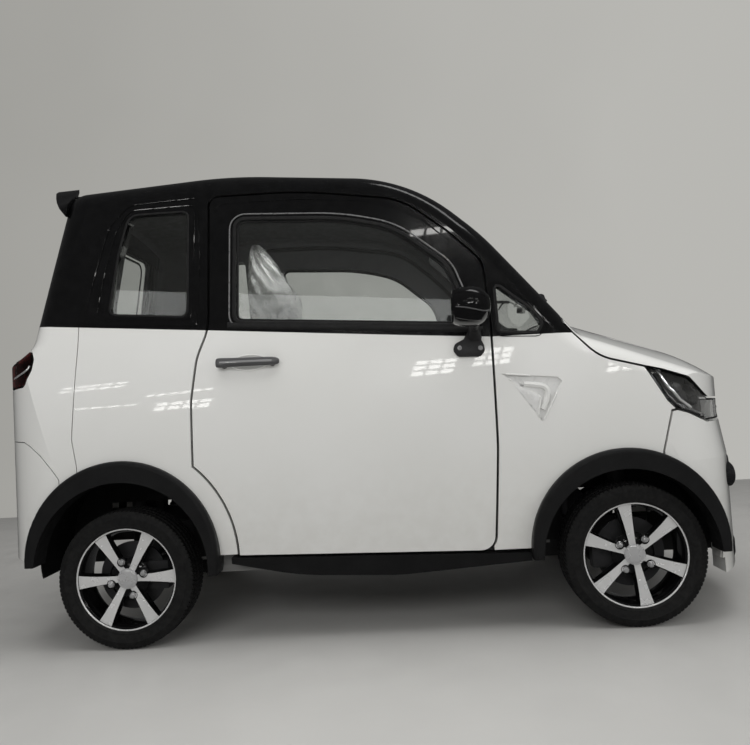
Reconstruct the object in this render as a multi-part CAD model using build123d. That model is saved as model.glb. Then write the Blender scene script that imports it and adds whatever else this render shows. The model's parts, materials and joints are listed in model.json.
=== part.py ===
from build123d import *
import math
import os

os.makedirs("parts", exist_ok=True)

# Driving sizes in millimetres
length = 2600.0
width = 1136.0
crown_axis_z = -450.0
section_radius = 2400.0
section_mid_z = 600.0
greenhouse_lean = 10.5
envelope_top = 1750.0
envelope_low = 100.0
roof_edge_radius = 75.0
door_edge_radius = 40.0
wall_edge_radius = 30.0
trim_edge_radius = 16.0
nose_radius = 850.0
tail_radius = 2000.0
nose_corner_radius = 250.0
tail_corner_radius = 230.0
nose_slope_z = 520.0
nose_step_z = 660.0
nose_back = 23.0

# Wall thicknesses and gaps
wall = 52.0
door_wall = 45.0
skin = 22.0
glass_in = 6.0
glass_t = 5.0
lens_t = 5.0
gap = 7.0
seam = 3.0
door_gap = 8.0
step_back = 12.0
lip = 8.0
fit_clear = 0.3
screen_gap = 1.0

# Wheels
front_axle_x = 830.0
rear_axle_x = -825.0
tyre_r = 227.0
tyre_w = 130.0
wheel_y = 485.0
rim_r = 167.5
rim_w = 112.0
rim_t = 6.0
spokes = 6
spoke_w = 46.0
spoke_t = 22.0
hub_r = 48.0
disc_r = 112.0
disc_t = 8.0
lug_circle_r = 57.0
front_spoke_turn = 39.0
rear_spoke_turn = 1.5
lug_turn = 15.5
lugs = 4
bearing_r = 15.0
bearing_clear = 0.05

# Wheel arches
arch_rear_x = -825.0
arch_rear_z = 298.0
arch_front_x = 808.0
arch_front_z = 264.0
arch_rear_outer_r = 320.0
arch_rear_inner_r = 287.0
arch_rear_inner_z = 262.0
arch_front_outer_r = 308.0
arch_front_inner_r = 275.0
arch_front_inner_z = 232.0
arch_band = 64.0
well_r = 300.0
liner_t = 4.0
well_y = 285.0
arch_y = 508.0
flare_out = 18.0
flare_edge = 14.0
flare_low_z = 236.0
flare_rear_z = 288.0

# Body floor, bulkheads and chassis
front_low_z = 200.0
chin_low_z = 152.0
chin_deep = 60.0
chin_x = 1120.0
rear_low_z = 300.0
lamp_inner_y = 330.0
floor_z = 225.0
floor_t = 12.0
dash_top_z = 925.0
bulkhead_front_x = 600.0
bulkhead_rear_x = -640.0
load_rear_x = -1235.0
corner_front_x = -950.0
load_floor_z = 520.0
jamb = 26.0
rail_y = 180.0
rail_w = 50.0
rail_h = 60.0
rail_low_z = 165.0
rail_high_z = 300.0
rail_front_x = 1200.0
rail_rear_x = -1200.0
rail_step_x = -610.0
battery_x0 = -550.0
battery_x1 = -250.0
battery_y = 275.0
battery_top_z = 400.0

# Suspension, hubs and brakes
hub_len = 46.0
knuckle_r = 16.0
kingpin_lean = 12.0
ball_z = 135.0
strut_low_z = 335.0
strut_r = 17.0
spindle_gap = 7.0
caliper_gap = 6.0
caliper_h = 92.0
arm_spread = 110.0
arm_r = 13.0
axle_r = 30.0
motor_w = 190.0
spring_r = 24.0
spring_y = 257.0

# Seats and controls
seat_x = 60.0
seat_y = 250.0
seat_w = 430.0
seat_deep = 440.0
seat_base_z = 380.0
cushion_t = 110.0
back_h = 760.0
back_lean = 8.0
bench_lean = 14.0
bench_x = -455.0
bench_w = 540.0
bench_deep = 300.0
bench_back_x = -648.0
bench_back_h = 430.0
dash_x = 450.0
dash_low_z = 640.0
wheel_side_y = 250.0
column_z = 780.0
column_tilt = 28.0
column_len = 110.0
column_r = 22.0
steering_r = 160.0
steering_rim_r = 13.0

# Mirrors, handles, spoiler, wipers and towing eyes
mirror_foot_out = 14.0
mirror_x = 345.0
mirror_y = 650.0
mirror_z = 1041.0
mirror_r = 63.0
mirror_foot_z = 912.0
stalk_r = 12.0
handle_x0 = -504.0
handle_x1 = -291.0
handle_z = 918.0
handle_h = 24.0
handle_t = 14.0
handle_out = 30.0
spoiler_y = 366.0
eye_t = 12.0
eye_w = 60.0
eye_reach = 40.0
eye_bore_r = 10.0

# Joints
kingpin_y = 425.0
bonnet_hinge_x = 655.0
tailgate_hinge_x = -1010.0

# Body outline seen from the side: x, z and corner radius as shares of the length
silhouette_shares = [
    (-0.4854, 0.0385, 0.0000), (-0.5008, 0.2692, 0.1923), (-0.5000, 0.3423, 0.0423),
    (-0.4854, 0.3865, 0.0308),
    (-0.4385, 0.4185, 0.0154), (-0.3977, 0.6165, 0.0308), (-0.1731, 0.6292, 0.6923),
    (0.0708, 0.6073, 0.2308),
    (0.1615, 0.5269, 0.3462), (0.2715, 0.3973, 0.0231), (0.4346, 0.3404, 0.1923),
    (0.4800, 0.3031, 0.0346),
    (0.5000, 0.2154, 0.0962), (0.4969, 0.0385, 0.0000),
]

# Panel outlines seen from the side
door_shares = [
    (-0.1996, 0.5815, 0.0135), (-0.0769, 0.5808, 0.5769), (0.0577, 0.5596, 0.0962),
    (0.1154, 0.5108, 0.0769),
    (0.1573, 0.4662, 0.0269), (0.1612, 0.3846, 0.2308), (0.1588, 0.2308, 0.3462),
    (0.1492, 0.1008, 0.0192),
    (-0.2231, 0.1115, 0.0000), (-0.2215, 0.3077, 0.0769), (-0.2138, 0.3615, 0.0769),
    (-0.1985, 0.4000, 0.0769),
]
door_window_shares = [
    (-0.1627, 0.5462, 0.0115), (-0.0231, 0.5377, 0.3462), (0.0462, 0.5192, 0.1154),
    (0.1115, 0.4635, 0.0462),
    (0.1238, 0.4269, 0.0231), (0.1223, 0.3846, 0.0096), (-0.1635, 0.4069, 0.0096),
]
quarter_window_shares = [
    (-0.3077, 0.5623, 0.0154), (-0.2281, 0.5623, 0.0077), (-0.2269, 0.4177, 0.0077),
    (-0.3296, 0.4269, 0.0077),
    (-0.3200, 0.5077, 0.0769),
]
vent_window_shares = [
    (0.1708, 0.4346, 0.0031), (0.2154, 0.3962, 0.0038), (0.2242, 0.3800, 0.0038),
    (0.2185, 0.3696, 0.0031), (0.1708, 0.3723, 0.0031),
]
belt_shares = [
    (-0.5769, 0.4308, 0.0000), (-0.4188, 0.4162, 0.0000), (-0.2031, 0.3977, 0.0000),
    (0.0465, 0.3758, 0.0000), (0.1588, 0.3665, 0.0000),
    (0.2558, 0.3658, 0.0000), (0.5769, 0.3658, 0.0000), (0.5769, 0.6923, 0.0000),
    (-0.5769, 0.6923, 0.0000),
]
front_fender_shares = [
    (0.1462, 0.3846, 0.0000), (0.2558, 0.3846, 0.0000), (0.2558, 0.3762, 0.0000),
    (0.2892, 0.3338, 0.0538), (0.3450, 0.3181, 0.0000),
    (0.3685, 0.2746, 0.0000), (0.3792, 0.2631, 0.0000), (0.3723, 0.2623, 0.0000),
    (0.3654, 0.2385, 0.0231), (0.3585, 0.2131, 0.0000), (0.3585, 0.1012, 0.0000),
    (0.1462, 0.1012, 0.0000),
]
ornament_shares = [
    (0.1692, 0.3188, 0.0000), (0.2377, 0.3112, 0.0046), (0.2431, 0.3058, 0.0038),
    (0.2142, 0.2542, 0.0023), (0.2100, 0.2642, 0.0023), (0.2154, 0.2865, 0.0054),
    (0.2096, 0.2942, 0.0054), (0.1888, 0.3019, 0.0038), (0.1796, 0.3108, 0.0077),
]
bonnet_shares = [
    (0.2154, 0.4154, 0.0000), (0.2558, 0.3762, 0.0000), (0.2892, 0.3338, 0.0538),
    (0.3450, 0.3181, 0.0000),
    (0.3650, 0.3131, 0.0231), (0.3977, 0.3012, 0.0115), (0.4150, 0.2842, 0.0231),
    (0.4269, 0.2746, 0.0000), (0.5385, 0.2708, 0.0000),
    (0.5385, 0.4154, 0.0000),
]
headlamp_shares = [
    (0.3450, 0.3181, 0.0038), (0.3650, 0.3131, 0.0231), (0.3977, 0.3012, 0.0115),
    (0.4150, 0.2842, 0.0231), (0.4269, 0.2746, 0.0000),
    (0.5385, 0.2708, 0.0000), (0.5385, 0.2462, 0.0000), (0.4208, 0.2462, 0.0077),
    (0.3935, 0.2588, 0.0115), (0.3792, 0.2631, 0.0038),
    (0.3685, 0.2746, 0.0038),
]
front_bumper_shares = [
    (0.3585, 0.0692, 0.0000), (0.3585, 0.2131, 0.0000), (0.3654, 0.2385, 0.0231),
    (0.3723, 0.2623, 0.0000), (0.3792, 0.2631, 0.0000),
    (0.3935, 0.2588, 0.0115), (0.4208, 0.2462, 0.0077), (0.4269, 0.2746, 0.0000),
    (0.5385, 0.2708, 0.0000), (0.5385, 0.0692, 0.0000),
]
tail_lamp_shares = [
    (-0.5385, 0.3858, 0.0000), (-0.4338, 0.3858, 0.0077), (-0.4277, 0.3738, 0.0077),
    (-0.4300, 0.3596, 0.0154), (-0.4404, 0.3392, 0.0077), (-0.5385, 0.3315, 0.0000),
]
rear_bumper_shares = [
    (-0.5385, 0.2712, 0.0000), (-0.4435, 0.2673, 0.0000), (-0.4331, 0.2619, 0.0154),
    (-0.4177, 0.2496, 0.0231),
    (-0.4027, 0.2312, 0.0231), (-0.3938, 0.2181, 0.0000), (-0.3938, 0.0692, 0.0000),
    (-0.5385, 0.0692, 0.0000),
]
rear_fender_shares = [
    (-0.1538, 0.4615, 0.0000), (-0.3692, 0.4615, 0.0000), (-0.3692, 0.3846, 0.0000),
    (-0.3758, 0.2673, 0.0000), (-0.3704, 0.2331, 0.0000),
    (-0.3704, 0.1123, 0.0000), (-0.1538, 0.1123, 0.0000),
]
sill_shares = [
    (-0.1808, 0.1085, 0.0000), (0.2308, 0.0958, 0.0000), (0.2308, 0.0869, 0.0000),
    (0.1958, 0.0869, 0.0231), (0.0288, 0.0762, 0.3462),
    (-0.0962, 0.0823, 0.3462), (-0.1808, 0.1008, 0.0000),
]

rear_corner_shares = [
    (-0.5769, 0.5769, 0.0000), (-0.3615, 0.5769, 0.0000), (-0.3615, 0.1538, 0.0000),
    (-0.5769, 0.1538, 0.0000),
]
mirror_foot_shares = [
    (0.1146, 0.3577, 0.0038), (0.1542, 0.3585, 0.0038), (0.1542, 0.3435, 0.0038),
    (0.1146, 0.3435, 0.0038),
]
spoiler_shares = [
    (-0.4231, 0.6154, 0.0015), (-0.4208, 0.6104, 0.0015), (-0.3985, 0.5962, 0.0000),
    (-0.3788, 0.5962, 0.0000),
    (-0.3788, 0.6177, 0.0000),
]
cross_low_shares = (-0.19, 0.0, 0.17, 0.4)
cross_high_shares = (-0.39,)

# Panel outlines seen from behind and above
tailgate_shares = [
    (0.1635, 0.2685, 0.0115), (0.1700, 0.3712, 0.0231), (0.1631, 0.4135, 0.0231),
    (0.1431, 0.5838, 0.0115),
    (0.1431, 0.6538, 0.0000), (-0.1431, 0.6538, 0.0000), (-0.1431, 0.5838, 0.0115),
    (-0.1631, 0.4135, 0.0231),
    (-0.1700, 0.3712, 0.0231), (-0.1635, 0.2685, 0.0115),
]
rear_window_shares = [
    (0.1508, 0.4277, 0.0115), (0.1327, 0.5654, 0.0154), (-0.1327, 0.5654, 0.0154),
    (-0.1508, 0.4277, 0.0115),
]
windscreen_shares = [
    (0.1046, 0.1415, 0.0154), (0.2354, 0.1738, 0.0231), (0.2600, 0.0962, 0.1154),
    (0.2669, 0.0000, 0.2692), (0.2600, -0.0962, 0.1154),
    (0.2354, -0.1738, 0.0231), (0.1046, -0.1415, 0.0154), (0.1092, 0.0000, 0.4615),
]
roof_panel_shares = [
    (-0.3885, 0.1354, 0.0000), (0.0385, 0.1354, 0.0462), (0.0892, 0.1154, 0.0231),
    (0.0977, 0.0000, 0.3462), (0.0892, -0.1154, 0.0231),
    (0.0385, -0.1354, 0.0462), (-0.3885, -0.1354, 0.0000),
]


def outline(shares, grow=0.0):
    points = [Vector(a * length, b * length) for a, b, r in shares]
    radii = [r * length for a, b, r in shares]
    count = len(points)
    area = sum(points[i - 1].cross(points[i]).Z for i in range(count))
    turn = 1 if area > 0 else -1
    lines = []
    for i in range(count):
        start = points[i]
        along = (points[(i + 1) % count] - start).normalized()
        side = Vector(along.Y, -along.X) * turn
        lines.append((start + side * grow, along, side))
    corners = []
    for i in range(count):
        base, along, side = lines[i - 1]
        other, heading, facing = lines[i]
        cross = along.cross(heading).Z
        if abs(cross) < 1e-4:
            corners.append((other, 0.0))
            continue
        reach = (other - base).cross(heading).Z / cross
        radius = radii[i]
        if radius > 0:
            radius = radius + grow if cross * turn > 0 else radius - grow
        corners.append((base + along * reach, max(radius, 0.0)))
    face = make_face(Polyline(*[(p.X, p.Y) for p, r in corners], close=True))
    for point, radius in corners:
        if radius > 0:
            corner = face.vertices().sort_by_distance((point.X, point.Y, 0))[0]
            face = fillet(corner, radius=radius)
    return face


def section_face(inset):
    mid_y = width / 2 - section_radius
    radius = section_radius - inset
    lean = math.radians(greenhouse_lean)
    bend_y = mid_y + radius * math.cos(lean)
    bend_z = section_mid_z + radius * math.sin(lean)
    top_z = envelope_top - inset
    top_y = bend_y - (top_z - bend_z) * math.tan(lean)
    low_z = envelope_low + inset
    low_y = mid_y + math.sqrt(radius**2 - (section_mid_z - low_z) ** 2)
    half_y = mid_y + radius
    return make_face(
        [
            ThreePointArc((low_y, low_z), (half_y, section_mid_z), (bend_y, bend_z)),
            Line((bend_y, bend_z), (top_y, top_z)),
            Line((top_y, top_z), (-top_y, top_z)),
            Line((-top_y, top_z), (-bend_y, bend_z)),
            ThreePointArc((-bend_y, bend_z), (-half_y, section_mid_z), (-low_y, low_z)),
            Line((-low_y, low_z), (low_y, low_z)),
        ]
    )


def plan_face(inset):
    half_y = width / 2 - inset
    nose = nose_radius - inset
    tail = tail_radius - inset
    nose_x = length / 2 - nose_radius + math.sqrt(nose**2 - half_y**2)
    tail_x = tail_radius - length / 2 - math.sqrt(tail**2 - half_y**2)
    tip = length / 2 - inset
    plan = make_face(
        [
            ThreePointArc((nose_x, half_y), (tip, 0), (nose_x, -half_y)),
            Line((nose_x, -half_y), (tail_x, -half_y)),
            ThreePointArc((tail_x, -half_y), (-tip, 0), (tail_x, half_y)),
            Line((tail_x, half_y), (nose_x, half_y)),
        ]
    )
    for x, radius in ((nose_x, nose_corner_radius), (tail_x, tail_corner_radius)):
        for y in (-half_y, half_y):
            corner = plan.vertices().sort_by_distance((x, y, 0))[0]
            plan = fillet(corner, radius=radius - inset)
    return plan


def envelope(inset, edge_radius):
    axis = Axis((0, 0, crown_axis_z), (1, 0, 0))
    side = Plane.XZ * outline(silhouette_shares, -inset)
    crowned = revolve(side.rotate(axis, -60), axis=axis, revolution_arc=120)
    block = extrude(Plane.YZ * section_face(inset), amount=length, both=True)
    tube = crowned & block
    edges = []
    for edge in tube.edges():
        flat = edge.bounding_box().size.Y < width / 4
        if flat and abs(edge.center().Y) > width / 4 and edge.center().Z > envelope_low * 2:
            edges.append(edge)
    tube = fillet(edges, radius=edge_radius)
    low = extrude(plan_face(inset), amount=nose_slope_z)
    rise = nose_step_z - nose_slope_z
    lean = Vector(-nose_back, 0, rise)
    slope_face = Pos(0, 0, nose_slope_z) * plan_face(inset)
    slope = extrude(slope_face, amount=lean.length, dir=lean.normalized())
    high_face = Pos(-nose_back, 0, nose_step_z) * plan_face(inset)
    high = extrude(high_face, amount=envelope_top - nose_step_z)
    rear = extrude(plan_face(inset), amount=envelope_top) & box(-length, 0, -width, width, 0, envelope_top)
    front = (low + slope + high) & box(0, length, -width, width, 0, envelope_top)
    return (tube & box(-length, 0, -width, width, 0, envelope_top) & rear) + (
        tube & box(0, length, -width, width, 0, envelope_top) & front
    )


def side_block(face, near=0.0, far=width):
    return extrude(Plane.XZ.offset(near) * face, amount=far - near)


def through_block(face):
    return extrude(Plane.XZ * face, amount=width, both=True)


def rear_block(face, x0, x1):
    return extrude(Plane.YZ.offset(x0) * face, amount=x1 - x0)


def top_block(face, z0, z1):
    return extrude(Plane.XY.offset(z0) * face, amount=z1 - z0)


def box(x0, x1, y0, y1, z0, z1):
    mid = ((x0 + x1) / 2, (y0 + y1) / 2, (z0 + z1) / 2)
    return Pos(*mid) * Box(abs(x1 - x0), abs(y1 - y0), abs(z1 - z0))


def disc_y(x, z, r, y0, y1):
    mid = (x, (y0 + y1) / 2, z)
    return Pos(*mid) * Rot(90, 0, 0) * Cylinder(r, abs(y1 - y0))


def mirrored(shape):
    return mirror(shape, about=Plane.XZ)


def both(shape):
    return Compound(shape.solids() + mirrored(shape).solids())


def save(name, shape):
    solids = shape.solids()
    print(name, len(solids), round(sum(s.volume for s in solids) / 1e6, 2))
    export_step(solids[0] if len(solids) == 1 else Compound(solids), "parts/" + name + ".step")


def rod(a, b, r):
    start = Vector(*a)
    end = Vector(*b)
    plane = Plane(origin=start, z_dir=(end - start))
    return extrude(plane * Circle(r), amount=(end - start).length)


# Envelopes, one inside the other
outer = envelope(0, roof_edge_radius)
glass_face = envelope(glass_in, roof_edge_radius - glass_in)
glass_back = envelope(glass_in + glass_t, roof_edge_radius - glass_in - glass_t)
skin_back = envelope(skin, roof_edge_radius - skin)
door_back = envelope(door_wall, door_edge_radius)
wall_back = envelope(wall, wall_edge_radius)
trim_back = envelope(wall + step_back, trim_edge_radius)
seat_face = envelope(glass_in - fit_clear, roof_edge_radius - glass_in)
seat_back = envelope(glass_in + glass_t + fit_clear, roof_edge_radius - glass_in - glass_t)

full_shell = outer - wall_back
skin_shell = outer - skin_back
inner_skin = skin_back - door_back
pane_shell = glass_face - glass_back
trim_shell = wall_back - trim_back
seat_shell = seat_face - seat_back

# Wheel arches and wells
half = width / 2
arches = [
    (arch_rear_x, arch_rear_z, arch_rear_outer_r, arch_rear_inner_z, arch_rear_inner_r),
    (arch_front_x, arch_front_z, arch_front_outer_r, arch_front_inner_z, arch_front_inner_r),
]
arch_cut = []
well_cut = []
for x, z, outer_r, inner_z, inner_r in arches:
    for side in (-1, 1):
        arch_cut.append(disc_y(x, z, outer_r, side * arch_y, side * width))
        well_cut.append(disc_y(x, z, well_r + liner_t, side * well_y, side * width))

upper_block = through_block(outline(belt_shares, -fit_clear / 2))
lower_cut = through_block(outline(belt_shares, fit_clear / 2))
tailgate_hole = rear_block(outline(tailgate_shares, gap / 2), -length, tailgate_hinge_x + gap / 2)
screen_hole = top_block(outline(windscreen_shares, screen_gap), section_mid_z, envelope_top)
roof_hole = top_block(outline(roof_panel_shares, seam / 2), length / 2, envelope_top)

# Doors
door_face = outline(door_shares, -door_gap / 2)
door_arch_r = arch_rear_outer_r + arch_band
door_face = door_face - Pos(arch_rear_x, arch_rear_z) * Circle(door_arch_r)
step_face = outline(door_shares, -door_gap / 2 - step_back)
step_face = step_face - Pos(arch_rear_x, arch_rear_z) * Circle(door_arch_r + step_back)
door_blank = (skin_shell & side_block(door_face)) + (inner_skin & side_block(step_face))
window = outline(door_window_shares)
door_black = (door_blank & upper_block) - side_block(window)
door_white = door_blank - lower_cut
window_pane = side_block(outline(door_window_shares, lip))
window_seat = side_block(outline(door_window_shares, lip + fit_clear))
door_glass = pane_shell & window_pane
door_black = door_black - (seat_shell & window_seat)
door_hole = side_block(outline(door_shares, door_gap / 2))
arch_hole = disc_y(arch_rear_x, arch_rear_z, door_arch_r - door_gap, -width, 0)
door_hole = door_hole - arch_hole

save("door_right_shell", door_white)
save("door_left_shell", mirrored(door_white))
save("door_right_frame", door_black)
save("door_left_frame", mirrored(door_black))
save("door_right_glass", door_glass)
save("door_left_glass", mirrored(door_glass))
both_door_holes = door_hole + mirrored(door_hole)

# Upper cabin frame with its side glass
quarter_window = outline(quarter_window_shares)
vent_window = outline(vent_window_shares)
frame = (full_shell & upper_block) - both_door_holes
for cut in (tailgate_hole, screen_hole, roof_hole):
    frame = frame - cut
for face in (quarter_window, vent_window):
    frame = frame - through_block(face)
side_panes = []
for table in (quarter_window_shares, vent_window_shares):
    frame = frame - (seat_shell & through_block(outline(table, lip + fit_clear)))
    side_panes.append(pane_shell & side_block(outline(table, lip)))
side_glass = Compound(side_panes)
front_cut = box(bonnet_hinge_x, length, -width, width, 0, envelope_top)
screen_keep = top_block(outline(windscreen_shares, screen_gap), 0, envelope_top)
bonnet_cut = through_block(outline(bonnet_shares, gap / 2)) - screen_keep
frame = frame - (front_cut & bonnet_cut)
save("cabin_frame", frame)
save("side_glass", both(side_glass))

# Roof and windscreen
roof = full_shell & top_block(outline(roof_panel_shares, -seam / 2), length / 2, envelope_top)
roof = roof - tailgate_hole
save("roof", roof)
screen = pane_shell & top_block(outline(windscreen_shares), section_mid_z, envelope_top)
save("windscreen", screen)

# Lower body panels
upper_keep_out = through_block(outline(belt_shares, fit_clear / 2))
low_cut = box(-length, length, -width, width, 0, front_low_z)
low_cut = low_cut + box(-length, arch_rear_x, -width, width, 0, rear_low_z)
lower_shell = full_shell - upper_keep_out - low_cut
for cut in arch_cut + well_cut:
    lower_shell = lower_shell - cut
sill_block = side_block(outline(sill_shares))
sill_hole = side_block(outline(sill_shares, gap / 2))
tail_lamp_block = side_block(outline(tail_lamp_shares, -gap / 2), lamp_inner_y)
tail_lamp_hole = side_block(outline(tail_lamp_shares, gap / 2), lamp_inner_y - gap)
headlamp_block = side_block(outline(headlamp_shares, -gap / 2), lamp_inner_y)
headlamp_hole = side_block(outline(headlamp_shares, gap / 2), lamp_inner_y - gap)

fender = lower_shell & side_block(outline(front_fender_shares, -gap / 2))
fender = fender - door_hole - sill_hole - headlamp_hole
ornament = (outer - glass_face) & side_block(outline(ornament_shares))
fender = fender - ornament
rear_wing = lower_shell & side_block(outline(rear_fender_shares, -seam / 2))
rear_wing = rear_wing - door_hole - sill_hole
corner = lower_shell & side_block(outline(rear_corner_shares))
for cut in (
    side_block(outline(rear_fender_shares, seam / 2)),
    side_block(outline(rear_bumper_shares, seam / 2)),
    tail_lamp_hole,
    tailgate_hole,
):
    corner = corner - cut
save("front_fenders", both(fender))
save("rear_fenders", both(rear_wing))
save("rear_corners", both(corner))
rear_bumper = lower_shell & through_block(outline(rear_bumper_shares, -seam / 2))
save("rear_bumper", rear_bumper)
front_bumper = lower_shell & through_block(outline(front_bumper_shares, -gap / 2))
front_bumper = front_bumper - headlamp_hole - mirrored(headlamp_hole)
chin_ring = plan_face(0) - plan_face(chin_deep)
chin = extrude(Pos(0, 0, chin_low_z) * chin_ring, amount=front_low_z + wall - chin_low_z)
chin = chin & box(chin_x, length, -width, width, 0, length)
chin = chin - box(chin_x, length, -eye_w / 2 - gap, eye_w / 2 + gap, 0, front_low_z)
for cut in arch_cut + well_cut:
    chin = chin - cut
front_bumper = front_bumper + chin
save("front_bumper", front_bumper)
sill = full_shell & sill_block
for cut in arch_cut + well_cut:
    sill = sill - cut
save("side_sills", both(sill))

# Bonnet
bonnet = skin_shell & through_block(outline(bonnet_shares, -gap / 2))
bonnet = bonnet - top_block(outline(windscreen_shares, gap), section_mid_z, envelope_top)
bonnet = bonnet - headlamp_hole - mirrored(headlamp_hole)
bonnet = bonnet - box(-length, bonnet_hinge_x + gap, -width, width, 0, envelope_top)
save("bonnet", bonnet)

# Lamps
lens_back = glass_face
lamp_solid = outer - door_back
inner_block = side_block(outline(headlamp_shares, -gap / 2 - lens_t), lamp_inner_y + lens_t)
headlamp = (lamp_solid & headlamp_block) - (lens_back & inner_block)
head_base = (door_back - wall_back) & headlamp_block
tail_inner = side_block(outline(tail_lamp_shares, -gap / 2 - lens_t), lamp_inner_y + lens_t)
tail_lamp = (lamp_solid & tail_lamp_block) - (lens_back & tail_inner) - tailgate_hole
tail_base = ((door_back - wall_back) & tail_lamp_block) - tailgate_hole
save("headlamp_lenses", both(headlamp))
save("headlamps", both(head_base))
save("tail_lamp_lenses", both(tail_lamp))
save("tail_lamps", both(tail_base))

# Tailgate, hinged at the rear edge of the roof
gate_block = rear_block(outline(tailgate_shares, -gap / 2), -length, tailgate_hinge_x - gap / 2)
gate = skin_shell & gate_block
window_block = rear_block(outline(rear_window_shares), -length, tailgate_hinge_x - gap / 2)
pane_block = rear_block(outline(rear_window_shares, lip), -length, tailgate_hinge_x - gap / 2)
gate_front = tailgate_hinge_x - gap / 2
seat_block = rear_block(outline(rear_window_shares, lip + fit_clear), -length, gate_front)
gate = gate - window_block - (seat_shell & seat_block)
bumper_edge = side_block(outline(rear_bumper_shares, gap - seam / 2))
gate = gate - bumper_edge - mirrored(bumper_edge)
spoiler_side = Plane.XZ * outline(spoiler_shares)
spoiler_axis = Axis((0, 0, crown_axis_z), (1, 0, 0))
spoiler = revolve(spoiler_side.rotate(spoiler_axis, -30), axis=spoiler_axis, revolution_arc=60)
spoiler = spoiler & box(-length, tailgate_hinge_x - gap / 2, -spoiler_y, spoiler_y, 0, length)
gate = gate + (spoiler - (outer - skin_shell))
save("tailgate", gate)
gate_glass = (pane_shell & pane_block) - box(-length, length, -width, width, 0, length * 0.4)
save("tailgate_glass", gate_glass)

# Arch flares and wheel housings
flares = []
liners = []
for x, z, outer_r, inner_z, inner_r in arches:
    ring = disc_y(x, z, outer_r, -arch_y, -(half + flare_out))
    outside = ring.edges().filter_by(GeomType.CIRCLE).sort_by(Axis.Y)[0]
    ring = fillet(outside, radius=flare_edge)
    ring = ring - disc_y(x, inner_z, inner_r, 0, -width)
    ring = ring - box(-length, length, -width, width, -length, flare_low_z)
    flares.append(ring - box(-length, arch_rear_x, -width, width, -length, flare_rear_z))
    liner = disc_y(x, z, well_r + liner_t, -well_y, -arch_y)
    liner = liner - disc_y(x, z, well_r, -(well_y + liner_t), -width)
    liner = liner - box(x - well_r / 2, x + well_r / 2, -width, 0, -length, z + well_r / 2)
    liners.append(liner - box(-length, length, -width, width, -length, flare_low_z))
save("arch_flares", both(Compound(flares)))
save("wheel_liners", both(Compound(liners)))

# Chassis
rails = []
for side in (-1, 1):
    y0 = side * rail_y
    y1 = side * (rail_y + rail_w)
    rails.append(box(rail_step_x, rail_front_x, y0, y1, rail_low_z, floor_z))
    rails.append(box(rail_rear_x, rail_step_x + rail_w, y0, y1, rail_high_z, rail_high_z + rail_h))
    rails.append(box(rail_step_x, rail_step_x + rail_w, y0, y1, rail_low_z, rail_high_z + rail_h))
inner_y = rail_y + rail_w / 2
for share in cross_low_shares:
    x = share * length
    rails.append(box(x, x + rail_w, -inner_y, inner_y, rail_low_z, rail_low_z + rail_w))
for share in cross_high_shares:
    x = share * length
    rails.append(box(x, x + rail_w, -inner_y, inner_y, rail_high_z, rail_high_z + rail_w))
rails.append(box(rail_front_x - rail_w, rail_front_x, -inner_y, inner_y, rail_low_z, rail_low_z + rail_w))
rails.append(box(rail_rear_x, rail_rear_x + rail_w, -inner_y, inner_y, rail_high_z, rail_high_z + rail_w))
for side in (-1, 1):
    post_y = side * (rail_y + rail_w / 2)
    for x in (rail_rear_x + rail_w, rear_axle_x):
        rails.append(rod((x, post_y, rail_high_z), (x, post_y, load_floor_z), rail_w / 3))
frame_low = rails[0]
for piece in rails[1:]:
    frame_low = frame_low + piece
save("chassis_frame", frame_low)
# Cabin tub with bulkheads and load floor
tub = box(bulkhead_rear_x, bulkhead_front_x, -width, width, floor_z, floor_z + floor_t)
front_wall_x = bulkhead_front_x + floor_t
tub = tub + box(bulkhead_front_x, front_wall_x, -width, width, floor_z, dash_top_z)
rear_wall_x = bulkhead_rear_x - floor_t
tub = tub + box(rear_wall_x, bulkhead_rear_x, -width, width, floor_z, load_floor_z + floor_t)
tub = tub + box(load_rear_x, bulkhead_rear_x, -width, width, load_floor_z, load_floor_z + floor_t)
tub = tub & wall_back
corner_room = box(-length, corner_front_x, -width, width, 0, length) - trim_back
tub = tub - corner_room
trim_room = box(rear_wall_x, bulkhead_front_x, -width, width, floor_z, dash_top_z)
trim_room = trim_room + box(corner_front_x, rear_wall_x, -width, width, load_floor_z, dash_top_z)
inner_sides = trim_shell & trim_room
inner_sides = inner_sides - through_block(outline(door_shares, -jamb))
tub = tub + inner_sides
for cut in well_cut + arch_cut + [tailgate_hole, frame_low]:
    tub = tub - cut
save("cabin_tub", tub)

# Battery
battery = box(battery_x0, battery_x1, -battery_y, battery_y, floor_z + floor_t, battery_top_z)
save("battery_box", battery)

# Wheels and what carries them
def lathe_y(points, y0, side):
    ring = make_face(Polyline(*[(r, a) for a, r in points], close=True))
    return Pos(0, side * y0, 0) * revolve(ring, axis=Axis.Y)


def tyre_ring():
    low = rim_r + lens_t / 10
    side_y = tyre_w / 2
    points = [
        (-tyre_w * 0.38, rim_r - rim_t),
        (-tyre_w * 0.38, low),
        (-side_y * 0.94, low + rim_t),
        (-side_y, tyre_r * 0.88),
        (-side_y * 0.9, tyre_r * 0.968),
        (-side_y * 0.66, tyre_r),
    ]
    points = points + [(-a, r) for a, r in reversed(points)]
    return lathe_y(points, 0, 1)


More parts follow.
